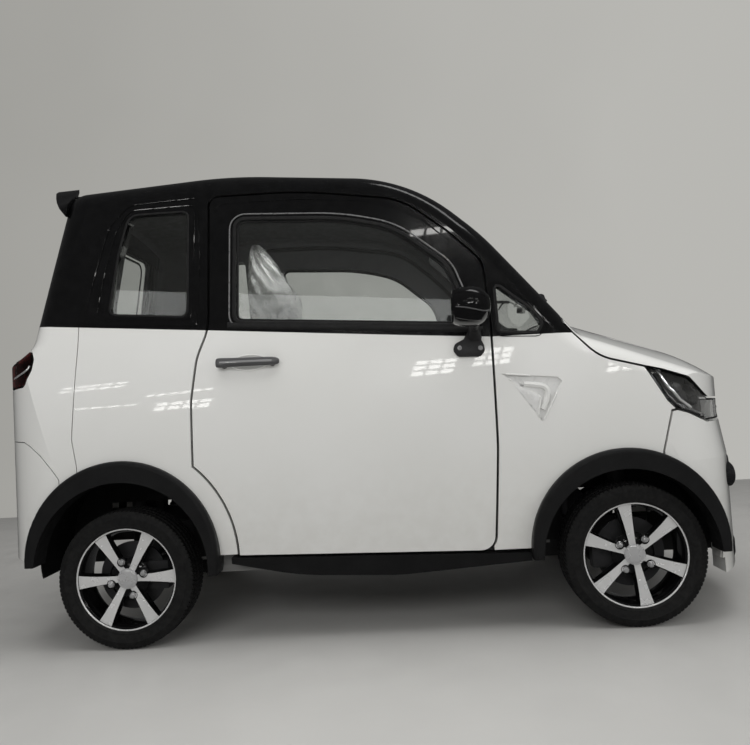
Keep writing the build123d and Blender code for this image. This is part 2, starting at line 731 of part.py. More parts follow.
def rim_solid(side, turn):
    barrel_in = rim_r - rim_t * 2
    barrel = Rot(90, 0, 0) * (Cylinder(rim_r - rim_t, rim_w) - Cylinder(barrel_in, rim_w))
    lip_t = rim_t * 0.8
    for end in (-1, 1):
        y = end * (rim_w / 2 - lip_t / 2)
        flange = Cylinder(rim_r, lip_t) - Cylinder(barrel_in, lip_t)
        barrel = barrel + Pos(0, y, 0) * Rot(90, 0, 0) * flange
    face_y = side * (rim_w / 2 - rim_t - spoke_t / 2)
    star = Cylinder(hub_r + rim_t, spoke_t)
    for i in range(spokes):
        arm = Pos(barrel_in / 2, 0, 0) * Box(barrel_in + rim_t, spoke_w, spoke_t)
        star = star + Rot(0, 0, i * 360 / spokes + turn) * arm
    star = star & Cylinder(barrel_in + rim_t / 2, spoke_t)
    for i in range(lugs):
        angle = i * 360 / lugs + turn - side * lug_turn
        star = star - Rot(0, 0, angle) * Pos(lug_circle_r, 0, 0) * Cylinder(rim_t, spoke_t)
    star = star - Cylinder(bearing_r + bearing_clear, spoke_t)
    return barrel + Pos(0, face_y, 0) * Rot(90, 0, 0) * star


def hub_solid(side):
    face = rim_w / 2 - rim_t - spoke_t
    inner = face - hub_len
    hub = disc_y(0, 0, hub_r, side * inner, side * face)
    hub = hub + disc_y(0, 0, disc_r, side * inner, side * (inner + disc_t))
    return hub - disc_y(0, 0, bearing_r + bearing_clear, -side * width, side * width)


wheel_rows = (("front", front_axle_x, front_spoke_turn), ("rear", rear_axle_x, rear_spoke_turn))
for name, x, spoke_turn in wheel_rows:
    for hand, side in (("right", -1), ("left", 1)):
        place = Pos(x, side * wheel_y, tyre_r)
        save("wheel_" + name + "_" + hand + "_tyre", place * tyre_ring())
        save("wheel_" + name + "_" + hand + "_rim", place * rim_solid(side, -side * spoke_turn))
        save("wheel_" + name + "_" + hand + "_hub", place * hub_solid(side))

# Steered knuckles, leaning inwards at the top
lean_tan = math.tan(math.radians(kingpin_lean))


def kingpin_at(z):
    return (front_axle_x, -(kingpin_y - (z - tyre_r) * lean_tan), z)


spindle_end = wheel_y + rim_w / 2 - rim_t - spoke_t * 0.3
hub_in = wheel_y + rim_w / 2 - rim_t - spoke_t - hub_len
knuckle = rod(kingpin_at(ball_z), kingpin_at(strut_low_z), knuckle_r)
knuckle = knuckle + disc_y(front_axle_x, tyre_r, knuckle_r * 1.5, -kingpin_y, -(hub_in - spindle_gap))
knuckle = knuckle + disc_y(front_axle_x, tyre_r, bearing_r, -kingpin_y, -spindle_end)


def caliper_at(x, towards):
    x0 = x + towards * disc_r * 0.5
    x1 = x + towards * (disc_r + caliper_gap * 2)
    near = hub_in - caliper_gap * 2.6
    far = hub_in + disc_t + caliper_gap * 2.6
    body = box(x0, x1, -near, -far, tyre_r - caliper_h / 2, tyre_r + caliper_h / 2)
    slot_r = disc_r + caliper_gap
    slot = disc_y(x, tyre_r, slot_r, -(hub_in - caliper_gap), -(hub_in + disc_t + caliper_gap))
    return body - slot


caliper = caliper_at(front_axle_x, -1)
bracket_y = hub_in - caliper_gap * 2.6
bracket_in = bracket_y - caliper_gap * 2
bracket_low = tyre_r - caliper_h / 3
bracket_high = tyre_r + caliper_h / 3
bracket = box(front_axle_x - disc_r, front_axle_x, -bracket_in, -bracket_y, bracket_low, bracket_high)
arm_z = tyre_r - disc_r / 3
arm_tip = (front_axle_x - disc_r * 0.9, -(kingpin_y - disc_r * 0.3), arm_z)
steer_arm = rod((front_axle_x, -kingpin_y, arm_z), arm_tip, knuckle_r * 0.6)
knuckle = knuckle + caliper + bracket + steer_arm
save("knuckle_right", knuckle)
save("knuckle_left", mirrored(knuckle))

# Front suspension on the body
arm_end = kingpin_at(ball_z - knuckle_r)
rail_side = -(rail_y + rail_w - arm_r)
rail_mid_z = rail_low_z + rail_w / 2
lower_arm = rod((front_axle_x - arm_spread, rail_side, rail_mid_z), arm_end, arm_r)
lower_arm = lower_arm + rod((front_axle_x + arm_spread, rail_side, rail_mid_z), arm_end, arm_r)
joint_room = rod(kingpin_at(ball_z - fit_clear), kingpin_at(strut_low_z), knuckle_r * 2)
lower_arm = lower_arm - joint_room - frame_low
strut_start = kingpin_at(strut_low_z + fit_clear)
strut_end = kingpin_at(arch_front_z + well_r - strut_r * 0.6)
strut = rod(strut_start, strut_end, strut_r)
spring_low = kingpin_at(strut_low_z + disc_r * 0.9)
strut = strut + rod(spring_low, strut_end, strut_r * 2)
save("front_suspension", both(Compound([lower_arm, strut])))

# Rear axle with its motor, and the rear springs
axle_half = hub_in - spindle_gap
motor_half = motor_w / 2
motor_low = tyre_r - motor_w / 3
motor_high = tyre_r + motor_w / 3
gear_front = rear_axle_x + motor_half
motor_y = motor_w * 0.1
axle = disc_y(rear_axle_x, tyre_r, axle_r, -axle_half, axle_half)
axle = axle + disc_y(rear_axle_x, tyre_r, bearing_r, -spindle_end, spindle_end)
axle = axle + box(rear_axle_x - motor_half, gear_front, -motor_half, motor_half, motor_low, motor_high)
motor_end = (rear_axle_x + motor_w * 0.82, motor_y, tyre_r)
axle = axle + rod((gear_front, motor_y, tyre_r), motor_end, motor_w * 0.36)
for side in (-1, 1):
    rear_brake = caliper_at(rear_axle_x, 1)
    plate_end = rear_axle_x + disc_r
    plate = box(rear_axle_x, plate_end, -bracket_in, -bracket_y, bracket_low, bracket_high)
    pair = rear_brake + plate
    axle = axle + (pair if side < 0 else mirrored(pair))
save("rear_axle", axle)
spring_x = rear_axle_x - axle_r - spring_r * 1.3
springs = rod((spring_x, -spring_y, tyre_r), (spring_x, -spring_y, load_floor_z), spring_r)
seat_low = tyre_r - arm_r / 2
seat_high = tyre_r + arm_r / 2
spring_in = -spring_y + spring_r
spring_out = -spring_y - spring_r
spring_seat = box(spring_x - spring_r, rear_axle_x, spring_out, spring_in, seat_low, seat_high)
springs = springs + (spring_seat - rod((rear_axle_x, -width, tyre_r), (rear_axle_x, width, tyre_r), axle_r))
save("rear_springs", both(springs))

# Seats
def seat_block_at(x, y, wide, deep, base_z):
    cushion = Pos(x, y, base_z + cushion_t / 2) * Box(deep, wide, cushion_t)
    cushion = fillet(cushion.edges(), radius=cushion_t * 0.25)
    back = Box(cushion_t * 0.8, wide, back_h)
    back = fillet(back.edges(), radius=cushion_t * 0.25)
    hinge_x = x - deep / 2 - cushion_t * 0.32
    place = Pos(hinge_x, y, base_z + cushion_t * 0.2) * Rot(0, -back_lean, 0)
    back = place * Pos(0, 0, back_h / 2) * back
    room = Box(deep + fit_clear * 2, wide * 1.1, cushion_t + fit_clear * 2)
    return [cushion, back - Pos(x, y, base_z + cushion_t / 2) * room]


front_seat_solids = []
seat_frames = []
for y in (-seat_y, seat_y):
    front_seat_solids = front_seat_solids + seat_block_at(seat_x, y, seat_w, seat_deep, seat_base_z)
    foot_x0 = seat_x - seat_deep * 0.45
    foot_x1 = seat_x + seat_deep * 0.4
    foot_half = seat_w * 0.4
    foot_top = seat_base_z - fit_clear
    foot = box(foot_x0, foot_x1, y - foot_half, y + foot_half, floor_z + floor_t, foot_top)
    seat_frames.append(foot)
save("front_seats", Compound([s for p in front_seat_solids for s in p.solids()]))
save("seat_frames", Compound([s for p in seat_frames for s in p.solids()]))
bench_seat = Pos(bench_x, 0, battery_top_z + fit_clear + cushion_t / 2) * Box(bench_deep, bench_w, cushion_t)
bench_seat = fillet(bench_seat.edges(), radius=cushion_t * 0.25)
bench_back = Box(cushion_t * 0.8, bench_w, bench_back_h)
bench_back = fillet(bench_back.edges(), radius=cushion_t * 0.25)
bench_place = Pos(bench_back_x, 0, load_floor_z) * Rot(0, -bench_lean, 0)
bench_back = bench_place * Pos(0, 0, bench_back_h / 2) * bench_back
bench_foot_z = load_floor_z + floor_t + fit_clear
bench_back = bench_back - box(-length, length, -width, width, 0, bench_foot_z)
save("rear_bench", Compound(bench_seat.solids() + bench_back.solids()))

# Dashboard, steering column and wheel
dash = box(dash_x, bulkhead_front_x, -width, width, dash_low_z, dash_top_z - gap) & trim_back
edge = dash.edges().filter_by(Axis.Y).sort_by(Axis.X)[0:2]
dash = fillet(edge, radius=gap * 4)
save("dashboard", dash)
col_low = Vector(dash_x + gap * 4, wheel_side_y, column_z)
tilt = math.radians(column_tilt)
lift = Vector(-math.cos(tilt), 0, math.sin(tilt))
col_end = col_low + lift * column_len
column = rod(tuple(col_low), tuple(col_end), column_r) - dash
save("steering_column", column)
hub_start = col_end + lift * gap
wheel_plane = Plane(origin=hub_start + lift * (column_r * 0.8), z_dir=lift, x_dir=(0, 1, 0))
steer = wheel_plane * Torus(steering_r, steering_rim_r)
steer = steer + wheel_plane * Cylinder(column_r * 1.8, column_r * 1.4)
for angle in (0, 180, 270):
    spoke = Pos(steering_r / 2, 0, 0) * Box(steering_r, column_r, steering_rim_r)
    steer = steer + wheel_plane * (Rot(0, 0, angle) * spoke)
save("steering_wheel", steer)

# Door mirrors and handles
mirror_base = side_block(outline(mirror_foot_shares), half * 0.9, half + mirror_foot_out)
mirror_base = mirror_base - outer
face_x = -mirror_r * 0.62
face_r = math.sqrt(mirror_r**2 - face_x**2)
turn = math.radians(60)
dome_mid = (mirror_r * math.cos(turn), mirror_r * math.sin(turn))
dome = make_face(
    [
        Line((mirror_r, 0), (face_x, 0)),
        Line((face_x, 0), (face_x, face_r)),
        ThreePointArc((face_x, face_r), dome_mid, (mirror_r, 0)),
    ]
)
head = Pos(mirror_x, -mirror_y, mirror_z) * revolve(dome, axis=Axis.X)
stalk_foot = (mirror_x, -(half + mirror_foot_out * 0.5), mirror_foot_z)
stalk_top = (mirror_x, -mirror_y, mirror_z - mirror_r * 0.4)
stalk = rod(stalk_foot, stalk_top, stalk_r)
mirror_right = mirror_base + stalk + head
save("mirror_right", mirror_right)
save("mirror_left", mirrored(mirror_right))
grip_out = half + handle_out
grip_low = handle_z - handle_h / 2
grip_high = handle_z + handle_h / 2
handle = box(handle_x0, handle_x1, -grip_out, -(grip_out - handle_t), grip_low, grip_high)
handle = fillet(handle.edges().filter_by(Axis.X), radius=handle_t * 0.3)
post_y = -(grip_out - handle_t / 2)
post_half = handle_h / 2
post_low = handle_z - handle_h / 3
post_high = handle_z + handle_h / 3
for x in (handle_x0 + handle_h, handle_x1 - handle_h):
    handle = handle + box(x - post_half, x + post_half, post_y, -half * 0.9, post_low, post_high)
handle = handle - outer
save("door_right_handle", handle)
save("door_left_handle", mirrored(handle))

# Towing eyes under each end
eyes = []
for x, towards in ((rail_front_x, 1), (rail_rear_x, -1)):
    low = rail_low_z
    tongue = box(x, x + towards * (eye_reach + eye_w), -eye_w / 2, eye_w / 2, low, low + eye_t)
    if towards < 0:
        tongue = tongue + box(x - eye_t, x, -eye_w / 2, eye_w / 2, low, rail_high_z + rail_w)
    bore_x = x + towards * (eye_reach + eye_w / 2)
    tongue = tongue - Pos(bore_x, 0, low) * Cylinder(eye_bore_r, eye_t * 4)
    eyes.append(tongue)
save("towing_eyes", Compound([s for p in eyes for s in p.solids()]))
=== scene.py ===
import json
import math
import random

import bmesh
import bpy
from mathutils import Matrix, Vector, noise
from mathutils.bvhtree import BVHTree


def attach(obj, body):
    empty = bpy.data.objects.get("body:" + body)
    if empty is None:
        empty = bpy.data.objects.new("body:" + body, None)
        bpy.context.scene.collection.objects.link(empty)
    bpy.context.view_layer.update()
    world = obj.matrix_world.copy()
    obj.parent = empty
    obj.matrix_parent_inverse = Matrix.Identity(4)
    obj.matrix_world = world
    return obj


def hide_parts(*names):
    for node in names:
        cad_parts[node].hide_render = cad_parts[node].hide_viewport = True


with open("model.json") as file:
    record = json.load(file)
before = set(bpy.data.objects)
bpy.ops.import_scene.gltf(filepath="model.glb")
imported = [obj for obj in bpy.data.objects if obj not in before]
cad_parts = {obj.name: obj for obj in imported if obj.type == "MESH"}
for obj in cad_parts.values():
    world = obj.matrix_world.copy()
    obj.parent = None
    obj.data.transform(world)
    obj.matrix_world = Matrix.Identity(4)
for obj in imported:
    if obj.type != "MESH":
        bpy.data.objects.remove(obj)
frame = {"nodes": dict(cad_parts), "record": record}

scene = bpy.context.scene
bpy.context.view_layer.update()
nodes = frame["nodes"]

# The camera of the photograph
cam_data = bpy.data.cameras.new("camera")
cam = bpy.data.objects.new("camera", cam_data)
scene.collection.objects.link(cam)
cam_right = Vector((0.99734, 0.04405, -0.05812))
cam_up = Vector((0.05997, -0.04182, 0.99733))
cam_back = cam_right.cross(cam_up)
cam_place = (0.1231, -2.7237, 0.7615)
sensor_width = 36.0
focal_length = 32.05
cam.matrix_world = Matrix.Translation(cam_place) @ Matrix(
    (
        (cam_right.x, cam_up.x, cam_back.x),
        (cam_right.y, cam_up.y, cam_back.y),
        (cam_right.z, cam_up.z, cam_back.z),
    )
).to_4x4()
cam_data.sensor_width = sensor_width
cam_data.lens = focal_length
scene.camera = cam
scene.view_settings.view_transform = "Standard"


# Materials
class Mat:
    """A node material with short ways to add procedural detail."""

    def __init__(self, name, color, rough=0.5, metal=0.0):
        self.mat = bpy.data.materials.new(name)
        self.mat.use_nodes = True
        self.tree = self.mat.node_tree
        self.bsdf = self.tree.nodes["Principled BSDF"]
        self.color = color
        self.rough = rough
        self.set("Base Color", (*color, 1.0))
        self.set("Roughness", rough)
        self.set("Metallic", metal)
        self.coord = self.tree.nodes.new("ShaderNodeTexCoord").outputs["Object"]
        self.height = None

    def set(self, socket, value):
        self.bsdf.inputs[socket].default_value = value
        return self

    def node(self, kind, **values):
        made = self.tree.nodes.new(kind)
        for key, value in values.items():
            setattr(made, key, value)
        return made

    def link(self, out, into):
        self.tree.links.new(out, into)

    def scaled(self, scale):
        mapping = self.node("ShaderNodeMapping")
        mapping.inputs["Scale"].default_value = scale
        self.link(self.coord, mapping.inputs["Vector"])
        return mapping.outputs["Vector"]

    def noise(self, scale, detail=3.0, stretch=(1.0, 1.0, 1.0)):
        made = self.node("ShaderNodeTexNoise")
        made.inputs["Scale"].default_value = scale
        made.inputs["Detail"].default_value = detail
        self.link(self.scaled(stretch), made.inputs["Vector"])
        return made.outputs["Fac"]

    def ramp(self, fac, low, high, start=0.35, end=0.65):
        made = self.node("ShaderNodeMapRange")
        made.inputs["From Min"].default_value = start
        made.inputs["From Max"].default_value = end
        made.inputs["To Min"].default_value = low
        made.inputs["To Max"].default_value = high
        self.link(fac, made.inputs["Value"])
        return made.outputs["Result"]

    def vary_color(self, fac, other, amount=1.0):
        mix = self.node("ShaderNodeMix", data_type="RGBA")
        mix.inputs[6].default_value = (*self.color, 1.0)
        mix.inputs[7].default_value = (*other, 1.0)
        if self.bsdf.inputs["Base Color"].links:
            self.link(self.bsdf.inputs["Base Color"].links[0].from_socket, mix.inputs[6])
        scaled = self.ramp(fac, 0.0, amount, 0.0, 1.0)
        self.link(scaled, mix.inputs[0])
        self.link(mix.outputs[2], self.bsdf.inputs["Base Color"])
        return self

    def vary_rough(self, fac, low, high):
        self.link(self.ramp(fac, low, high), self.bsdf.inputs["Roughness"])
        return self

    def bump(self, fac, strength, distance):
        made = self.node("ShaderNodeBump")
        made.inputs["Strength"].default_value = strength
        made.inputs["Distance"].default_value = distance
        self.link(fac, made.inputs["Height"])
        if self.height:
            self.link(self.height, made.inputs["Normal"])
        self.height = made.outputs["Normal"]
        self.link(self.height, self.bsdf.inputs["Normal"])
        return self

    def height_above(self, low, high):
        """1 at the low height and 0 at the high one."""
        split = self.node("ShaderNodeSeparateXYZ")
        self.link(self.coord, split.inputs[0])
        return self.ramp(split.outputs["Z"], 1.0, 0.0, low, high)

    def product(self, a, b):
        made = self.node("ShaderNodeMath", operation="MULTIPLY")
        self.link(a, made.inputs[0])
        self.link(b, made.inputs[1])
        return made.outputs[0]


def white_paint():
    m = Mat("white_paint", (0.80, 0.80, 0.785), 0.32)
    m.set("Coat Weight", 1.0).set("Coat Roughness", 0.03).set("Coat IOR", 1.5)
    m.vary_color(m.ramp(m.noise(2.2, 2.0), 0.0, 1.0), (0.775, 0.775, 0.755))
    dust = m.product(m.height_above(0.18, 0.62), m.ramp(m.noise(26.0, 6.0), 0.2, 1.0))
    m.vary_color(dust, (0.60, 0.585, 0.55), 0.35)
    m.vary_rough(m.noise(60.0, 4.0), 0.28, 0.38)
    m.bump(m.noise(330.0, 2.0), 0.035, 0.0006)
    return m.mat


def black_paint(name="black_paint"):
    m = Mat(name, (0.0022, 0.0022, 0.0024), 0.16)
    m.set("Coat Weight", 1.0).set("Coat Roughness", 0.025)
    m.vary_color(m.ramp(m.noise(34.0, 5.0), 0.0, 1.0), (0.0045, 0.0045, 0.0048), 0.8)
    m.vary_rough(m.noise(18.0, 4.0), 0.12, 0.22)
    m.bump(m.noise(300.0, 2.0), 0.04, 0.0006)
    return m.mat


def plastic(name, color, rough, grain=900.0, strength=0.25):
    m = Mat(name, color, rough)
    lighter = tuple(min(0.8, c * 1.25 + 0.002) for c in color)
    m.vary_color(m.ramp(m.noise(16.0, 5.0), 0.0, 1.0), lighter, 0.6)
    m.vary_rough(m.noise(40.0, 3.0), rough - 0.07, rough + 0.08)
    pits = m.node("ShaderNodeTexVoronoi")
    pits.inputs["Scale"].default_value = grain
    m.link(m.coord, pits.inputs["Vector"])
    m.bump(pits.outputs["Distance"], strength, 0.0004)
    return m.mat


def rubber(name, color, rough=0.72):
    m = Mat(name, color, rough)
    m.vary_color(m.ramp(m.noise(55.0, 6.0), 0.0, 1.0, 0.4, 0.75), (0.034, 0.033, 0.031), 0.30)
    m.vary_rough(m.noise(90.0, 4.0), rough - 0.12, rough + 0.1)
    m.bump(m.noise(700.0, 3.0), 0.25, 0.0005)
    return m.mat


def glass(name, color, ior=1.45):
    m = Mat(name, color, 0.0)
    m.set("Transmission Weight", 1.0).set("IOR", ior)
    m.vary_color(m.ramp(m.noise(9.0, 4.0), 0.0, 1.0), tuple(c * 0.94 for c in color), 0.8)
    m.vary_rough(m.noise(25.0, 5.0), 0.0, 0.02)
    return m.mat


def metal(name, color, rough, streak=(1.0, 1.0, 1.0), scale=300.0, strength=0.1, share=0.85):
    m = Mat(name, color, rough, share)
    m.vary_color(m.ramp(m.noise(14.0, 2.0, streak), 0.0, 1.0), tuple(c * 0.88 for c in color), 0.7)
    m.vary_rough(m.noise(scale * 0.2, 2.0, streak), rough * 0.8, rough * 1.2)
    m.bump(m.noise(scale * 2.0, 3.0, streak), strength, 0.0003)
    return m.mat


def cloth(name, color, other, weave=900.0, strength=0.5, sheen=0.35):
    m = Mat(name, color, 0.85)
    m.set("Sheen Weight", sheen)
    threads = []
    for direction in ("Z", "Y"):
        wave = m.node("ShaderNodeTexWave", wave_type="BANDS", bands_direction=direction)
        wave.inputs["Scale"].default_value = weave / 6.0
        wave.inputs["Distortion"].default_value = 1.5
        m.link(m.coord, wave.inputs["Vector"])
        threads.append(wave.outputs["Fac"])
    weave_out = m.product(*threads)
    m.vary_color(weave_out, other, 0.7)
    m.vary_color(m.ramp(m.noise(7.0, 4.0), 0.0, 1.0), tuple(c * 0.8 for c in color), 0.4)
    m.bump(weave_out, strength, 0.0008)
    return m.mat


def film_plastic():
    m = Mat("film_plastic", (0.66, 0.66, 0.65), 0.08)
    m.set("Transmission Weight", 0.78).set("IOR", 1.30).set("Coat Weight", 1.0).set("Coat Roughness", 0.05)
    m.vary_color(m.ramp(m.noise(60.0, 4.0), 0.0, 1.0), (0.75, 0.75, 0.74), 0.8)
    m.bump(m.noise(34.0, 7.0, (1.0, 1.0, 0.45)), 1.0, 0.014)
    return m.mat


mats = {
    "white_paint": white_paint(),
    "black_paint": black_paint(),
    "mirror_black": black_paint("mirror_black"),
    "dark_plastic": plastic("dark_plastic", (0.0085, 0.0085, 0.009), 0.50),
    "tinted_glass": glass("tinted_glass", (0.83, 0.85, 0.84)),
    "clear_glass": glass("clear_glass", (0.90, 0.92, 0.91)),
    "lens_glass": glass("lens_glass", (0.97, 0.975, 0.98)),
    "red_lens": glass("red_lens", (0.14, 0.02, 0.018)),
    "chrome_trim": metal("chrome_trim", (0.42, 0.42, 0.43), 0.14),
    "alloy": metal("alloy", (0.78, 0.78, 0.79), 0.26, (1.0, 1.0, 1.0), 160.0, 0.02, share=0.5),
    "tyre_rubber": rubber("tyre_rubber", (0.0095, 0.0095, 0.0098), 0.66),
    "cast_part": metal("cast_part", (0.13, 0.13, 0.135), 0.42),
    "frame_steel": plastic("frame_steel", (0.02, 0.02, 0.021), 0.45, 400.0),
    "grey_trim": cloth("grey_trim", (0.20, 0.20, 0.198), (0.27, 0.27, 0.265), 700.0, 0.3, 0.1),
    "seat_cloth": cloth("seat_cloth", (0.05, 0.05, 0.052), (0.10, 0.10, 0.10)),
    "wheel_grip": plastic("wheel_grip", (0.02, 0.02, 0.021), 0.55, 1400.0, 0.5),
}
rim_black = black_paint("rim_black")
machined = metal("machined", (0.90, 0.90, 0.90), 0.24, (1.0, 1.0, 1.0), 160.0, 0.015, share=0.35)
bright_chrome = metal("bright_chrome", (0.80, 0.80, 0.81), 0.08, share=0.7)
seal_rubber = rubber("seal_rubber", (0.012, 0.012, 0.0125), 0.5)
seam_dark = rubber("seam_dark", (0.004, 0.004, 0.004), 0.8)
lamp_dark = plastic("lamp_dark", (0.012, 0.012, 0.013), 0.3)
mirror_face = metal("mirror_face", (0.85, 0.86, 0.87), 0.02, strength=0.0)
black_nylon = plastic("black_nylon", (0.02, 0.02, 0.021), 0.4, 1200.0)
film = film_plastic()
satin_strip = metal("satin_strip", (0.34, 0.34, 0.345), 0.30, share=0.6)
edge_black = black_paint("edge_black")
# painted shade: a grey that stands for the shadow in the hollow behind the handle
painted_dish_shade = plastic("painted_dish_shade", (0.50, 0.50, 0.49), 0.35, 700.0, 0.05)
handle_metal = metal("handle_metal", (0.20, 0.20, 0.205), 0.22, share=0.6)
projector_glass = glass("projector_glass", (0.55, 0.57, 0.60))
lining = plastic("lining", (0.040, 0.040, 0.041), 0.62, 500.0, 0.35)
# painted shade: white paint made darker, laid on the ornament's recess floor
painted_recess_shade = plastic("painted_recess_shade", (0.66, 0.66, 0.65), 0.30, 500.0, 0.03)

slot_of = {entry["node"]: entry["material_slot"] for entry in frame["record"]["subparts"]}


def dress(name, mat):
    data = nodes[name].data
    data.materials.clear()
    data.materials.append(mat)
    for face in data.polygons:
        face.material_index = 0


for name in nodes:
    dress(name, mats[slot_of[name]])


inward = -0.35


def line_inside(name, mat, axis_y=0.0, axis_z=0.85):
    """Gives the faces that look towards a lengthwise axis a lining."""
    data = nodes[name].data
    data.materials.append(mat)
    for face in data.polygons:
        out = Vector((0.0, face.center.y - axis_y, face.center.z - axis_z)).normalized()
        if face.normal.dot(out) < inward:
            face.material_index = 1


for name in (
    "door_right_shell", "door_left_shell", "door_right_frame", "door_left_frame", "cabin_frame", "tailgate",
    "roof"
):
    line_inside(name, lining)
line_inside("bonnet", lining, 0.0, 0.40)


# Geometry helpers
hands = ((-1, "right"), (1, "left"))
weld = 0.000005


def piece(name, verts, faces, mat, body, smooth=True, sharp=35.0, marks=None):
    """A mesh made from lists of corners and faces; marks gives each face's material number."""
    data = bpy.data.meshes.new(name)
    data.from_pydata([tuple(v) for v in verts], [], faces)
    obj = bpy.data.objects.new(name, data)
    scene.collection.objects.link(obj)
    for m in mat if isinstance(mat, (list, tuple)) else [mat]:
        data.materials.append(m)
    if marks:
        for face, mark in zip(data.polygons, marks):
            face.material_index = mark
    made = bmesh.new()
    made.from_mesh(data)
    bmesh.ops.remove_doubles(made, verts=made.verts, dist=weld)
    bmesh.ops.recalc_face_normals(made, faces=made.faces)
    for face in made.faces:
        face.smooth = smooth
    if smooth:
        for edge in made.edges:
            if len(edge.link_faces) == 2 and edge.calc_face_angle() > math.radians(sharp):
                edge.smooth = False
    made.to_mesh(data)
    made.free()
    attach(obj, body)
    return obj


def lathe(name, profile, centre, mat, body, slot=None, steps=64, axis="Y", marks=None, closed=False):
    """Turns (radius, distance along the axis) pairs about an axis through centre."""
    cx, cy, cz = centre
    verts, faces, face_marks = [], [], []
    count = len(profile)
    for i in range(steps):
        a = 2 * math.pi * i / steps
        for r, d in profile:
            if axis == "Y":
                verts.append((cx + r * math.cos(a), cy + d, cz + r * math.sin(a)))
            elif axis == "X":
                verts.append((cx + d, cy + r * math.cos(a), cz + r * math.sin(a)))
            else:
                verts.append((cx + r * math.cos(a), cy + r * math.sin(a), cz + d))
    spans = count if closed else count - 1
    for i in range(steps):
        k = (i + 1) % steps
        for j in range(spans):
            n = (j + 1) % count
            faces.append((i * count + j, k * count + j, k * count + n, i * count + n))
            face_marks.append(marks[j] if marks else 0)
    return piece(name, verts, faces, mat, body, marks=face_marks if marks else None)


def rounded(points, steps=6):
    """A closed outline from (x, z, radius) corners; an arc takes less than half of a side."""
    side_share = 0.49
    out = []
    count = len(points)
    for i, (x, z, r) in enumerate(points):
        p = Vector((x, z))
        a = Vector(points[i - 1][:2]) - p
        b = Vector(points[(i + 1) % count][:2]) - p
        if r <= 0.0:
            out.append(p)
            continue
        half_angle = a.angle(b) / 2
        reach = min(r / math.tan(half_angle), a.length * side_share, b.length * side_share)
        real = reach * math.tan(half_angle)
        start = p + a.normalized() * reach
        end = p + b.normalized() * reach
        mid = p + (a.normalized() + b.normalized()).normalized() * (real / math.sin(half_angle))
        first, last = start - mid, end - mid
        total = first.angle_signed(last)
        for k in range(steps + 1):
            turn = -total * k / steps
            c, s = math.cos(turn), math.sin(turn)
            out.append(mid + Vector((first.x * c - first.y * s, first.x * s + first.y * c)))
    return out


def even(points, step, closed=True):
    """Points at an even spacing along a line of 2D or 3D points."""
    line = list(points) + ([points[0]] if closed else [])
    out = []
    carry = 0.0
    for a, b in zip(line, line[1:]):
        span = (b - a).length
        if span == 0:
            continue
        d = carry
        while d < span:
            out.append(a.lerp(b, d / span))
            d += step
        carry = d - span
    if not closed:
        out.append(line[-1])
    return out


class Skin:
    """Finds points on the outside of CAD nodes, to lay details on the panels."""

    def __init__(self, *names):
        verts, faces = [], []
        for n in names:
            data = nodes[n].data
            base = len(verts)
            verts += [v.co.copy() for v in data.vertices]
            faces += [tuple(base + i for i in f.vertices) for f in data.polygons]
        self.tree = BVHTree.FromPolygons(verts, faces)

    def cast(self, start, direction):
        hit = self.tree.ray_cast(Vector(start), Vector(direction))
        return (hit[0], hit[1]) if hit[0] else (None, None)

    def outermost(self, start, direction, near):
        """The first point hit from start, or else the one nearest to near, with its outward normal."""
        direction = Vector(direction)
        point, normal = self.cast(start, direction)
        if point is None:
            point, normal = self.tree.find_nearest(Vector(near))[:2]
        if normal.dot(direction) > 0:
            normal = -normal
        return point, normal

    def side(self, x, z, sign):
        """The outermost point at this x and z; sign -1 is the right side."""
        return self.outermost((x, sign * 2.0, z), (0, -sign, 0), (x, sign * 0.56, z))

    def end(self, y, z, way):
        """The outermost point at this y and z, seen from the front (way 1) or the back (way -1)."""
        return self.outermost((way * 3.0, y, z), (-way, 0, 0), (way * 1.25, y, z))

    def top(self, x, y, lift=0.0):
        """The highest point at this x and y, raised by lift along its normal."""
        point, normal = self.outermost((x, y, 2.5), (0, 0, -1), (x, y, 1.1))
        return point + normal * lift, normal


def tube(
    name, points, radius, mat, body, closed=False, segments=10, flat=1.0, up=None, taper=None
):
    """A swept tube; flat squashes its section along the up direction."""
    verts, faces = [], []
    count = len(points)
    last = None
    for i, p in enumerate(points):
        before = points[i - 1] if (i or closed) else points[i]
        after = points[(i + 1) % count] if (i < count - 1 or closed) else points[i]
        t = (after - before).normalized()
        guide = up[i] if isinstance(up, list) else (up or last or Vector((0, 0, 1)))
        if abs(t.dot(guide)) > 0.97:
            guide = Vector((1, 0, 0)) if abs(t.x) < 0.9 else Vector((0, 1, 0))
        n = (guide - t * guide.dot(t)).normalized()
        s = t.cross(n)
        last = n
        r = radius * (taper[i] if taper else 1.0)
        for k in range(segments):
            a = 2 * math.pi * k / segments
            verts.append(p + s * (r * math.cos(a)) + n * (r * flat * math.sin(a)))
    spans = count if closed else count - 1
    for i in range(spans):
        j = (i + 1) % count
        for k in range(segments):
            m = (k + 1) % segments
            faces.append((i * segments + k, i * segments + m, j * segments + m, j * segments + k))
    if not closed:
        faces.append(tuple(range(segments)))
        faces.append(tuple(range((count - 1) * segments, count * segments)))
    return piece(name, verts, faces, mat, body)


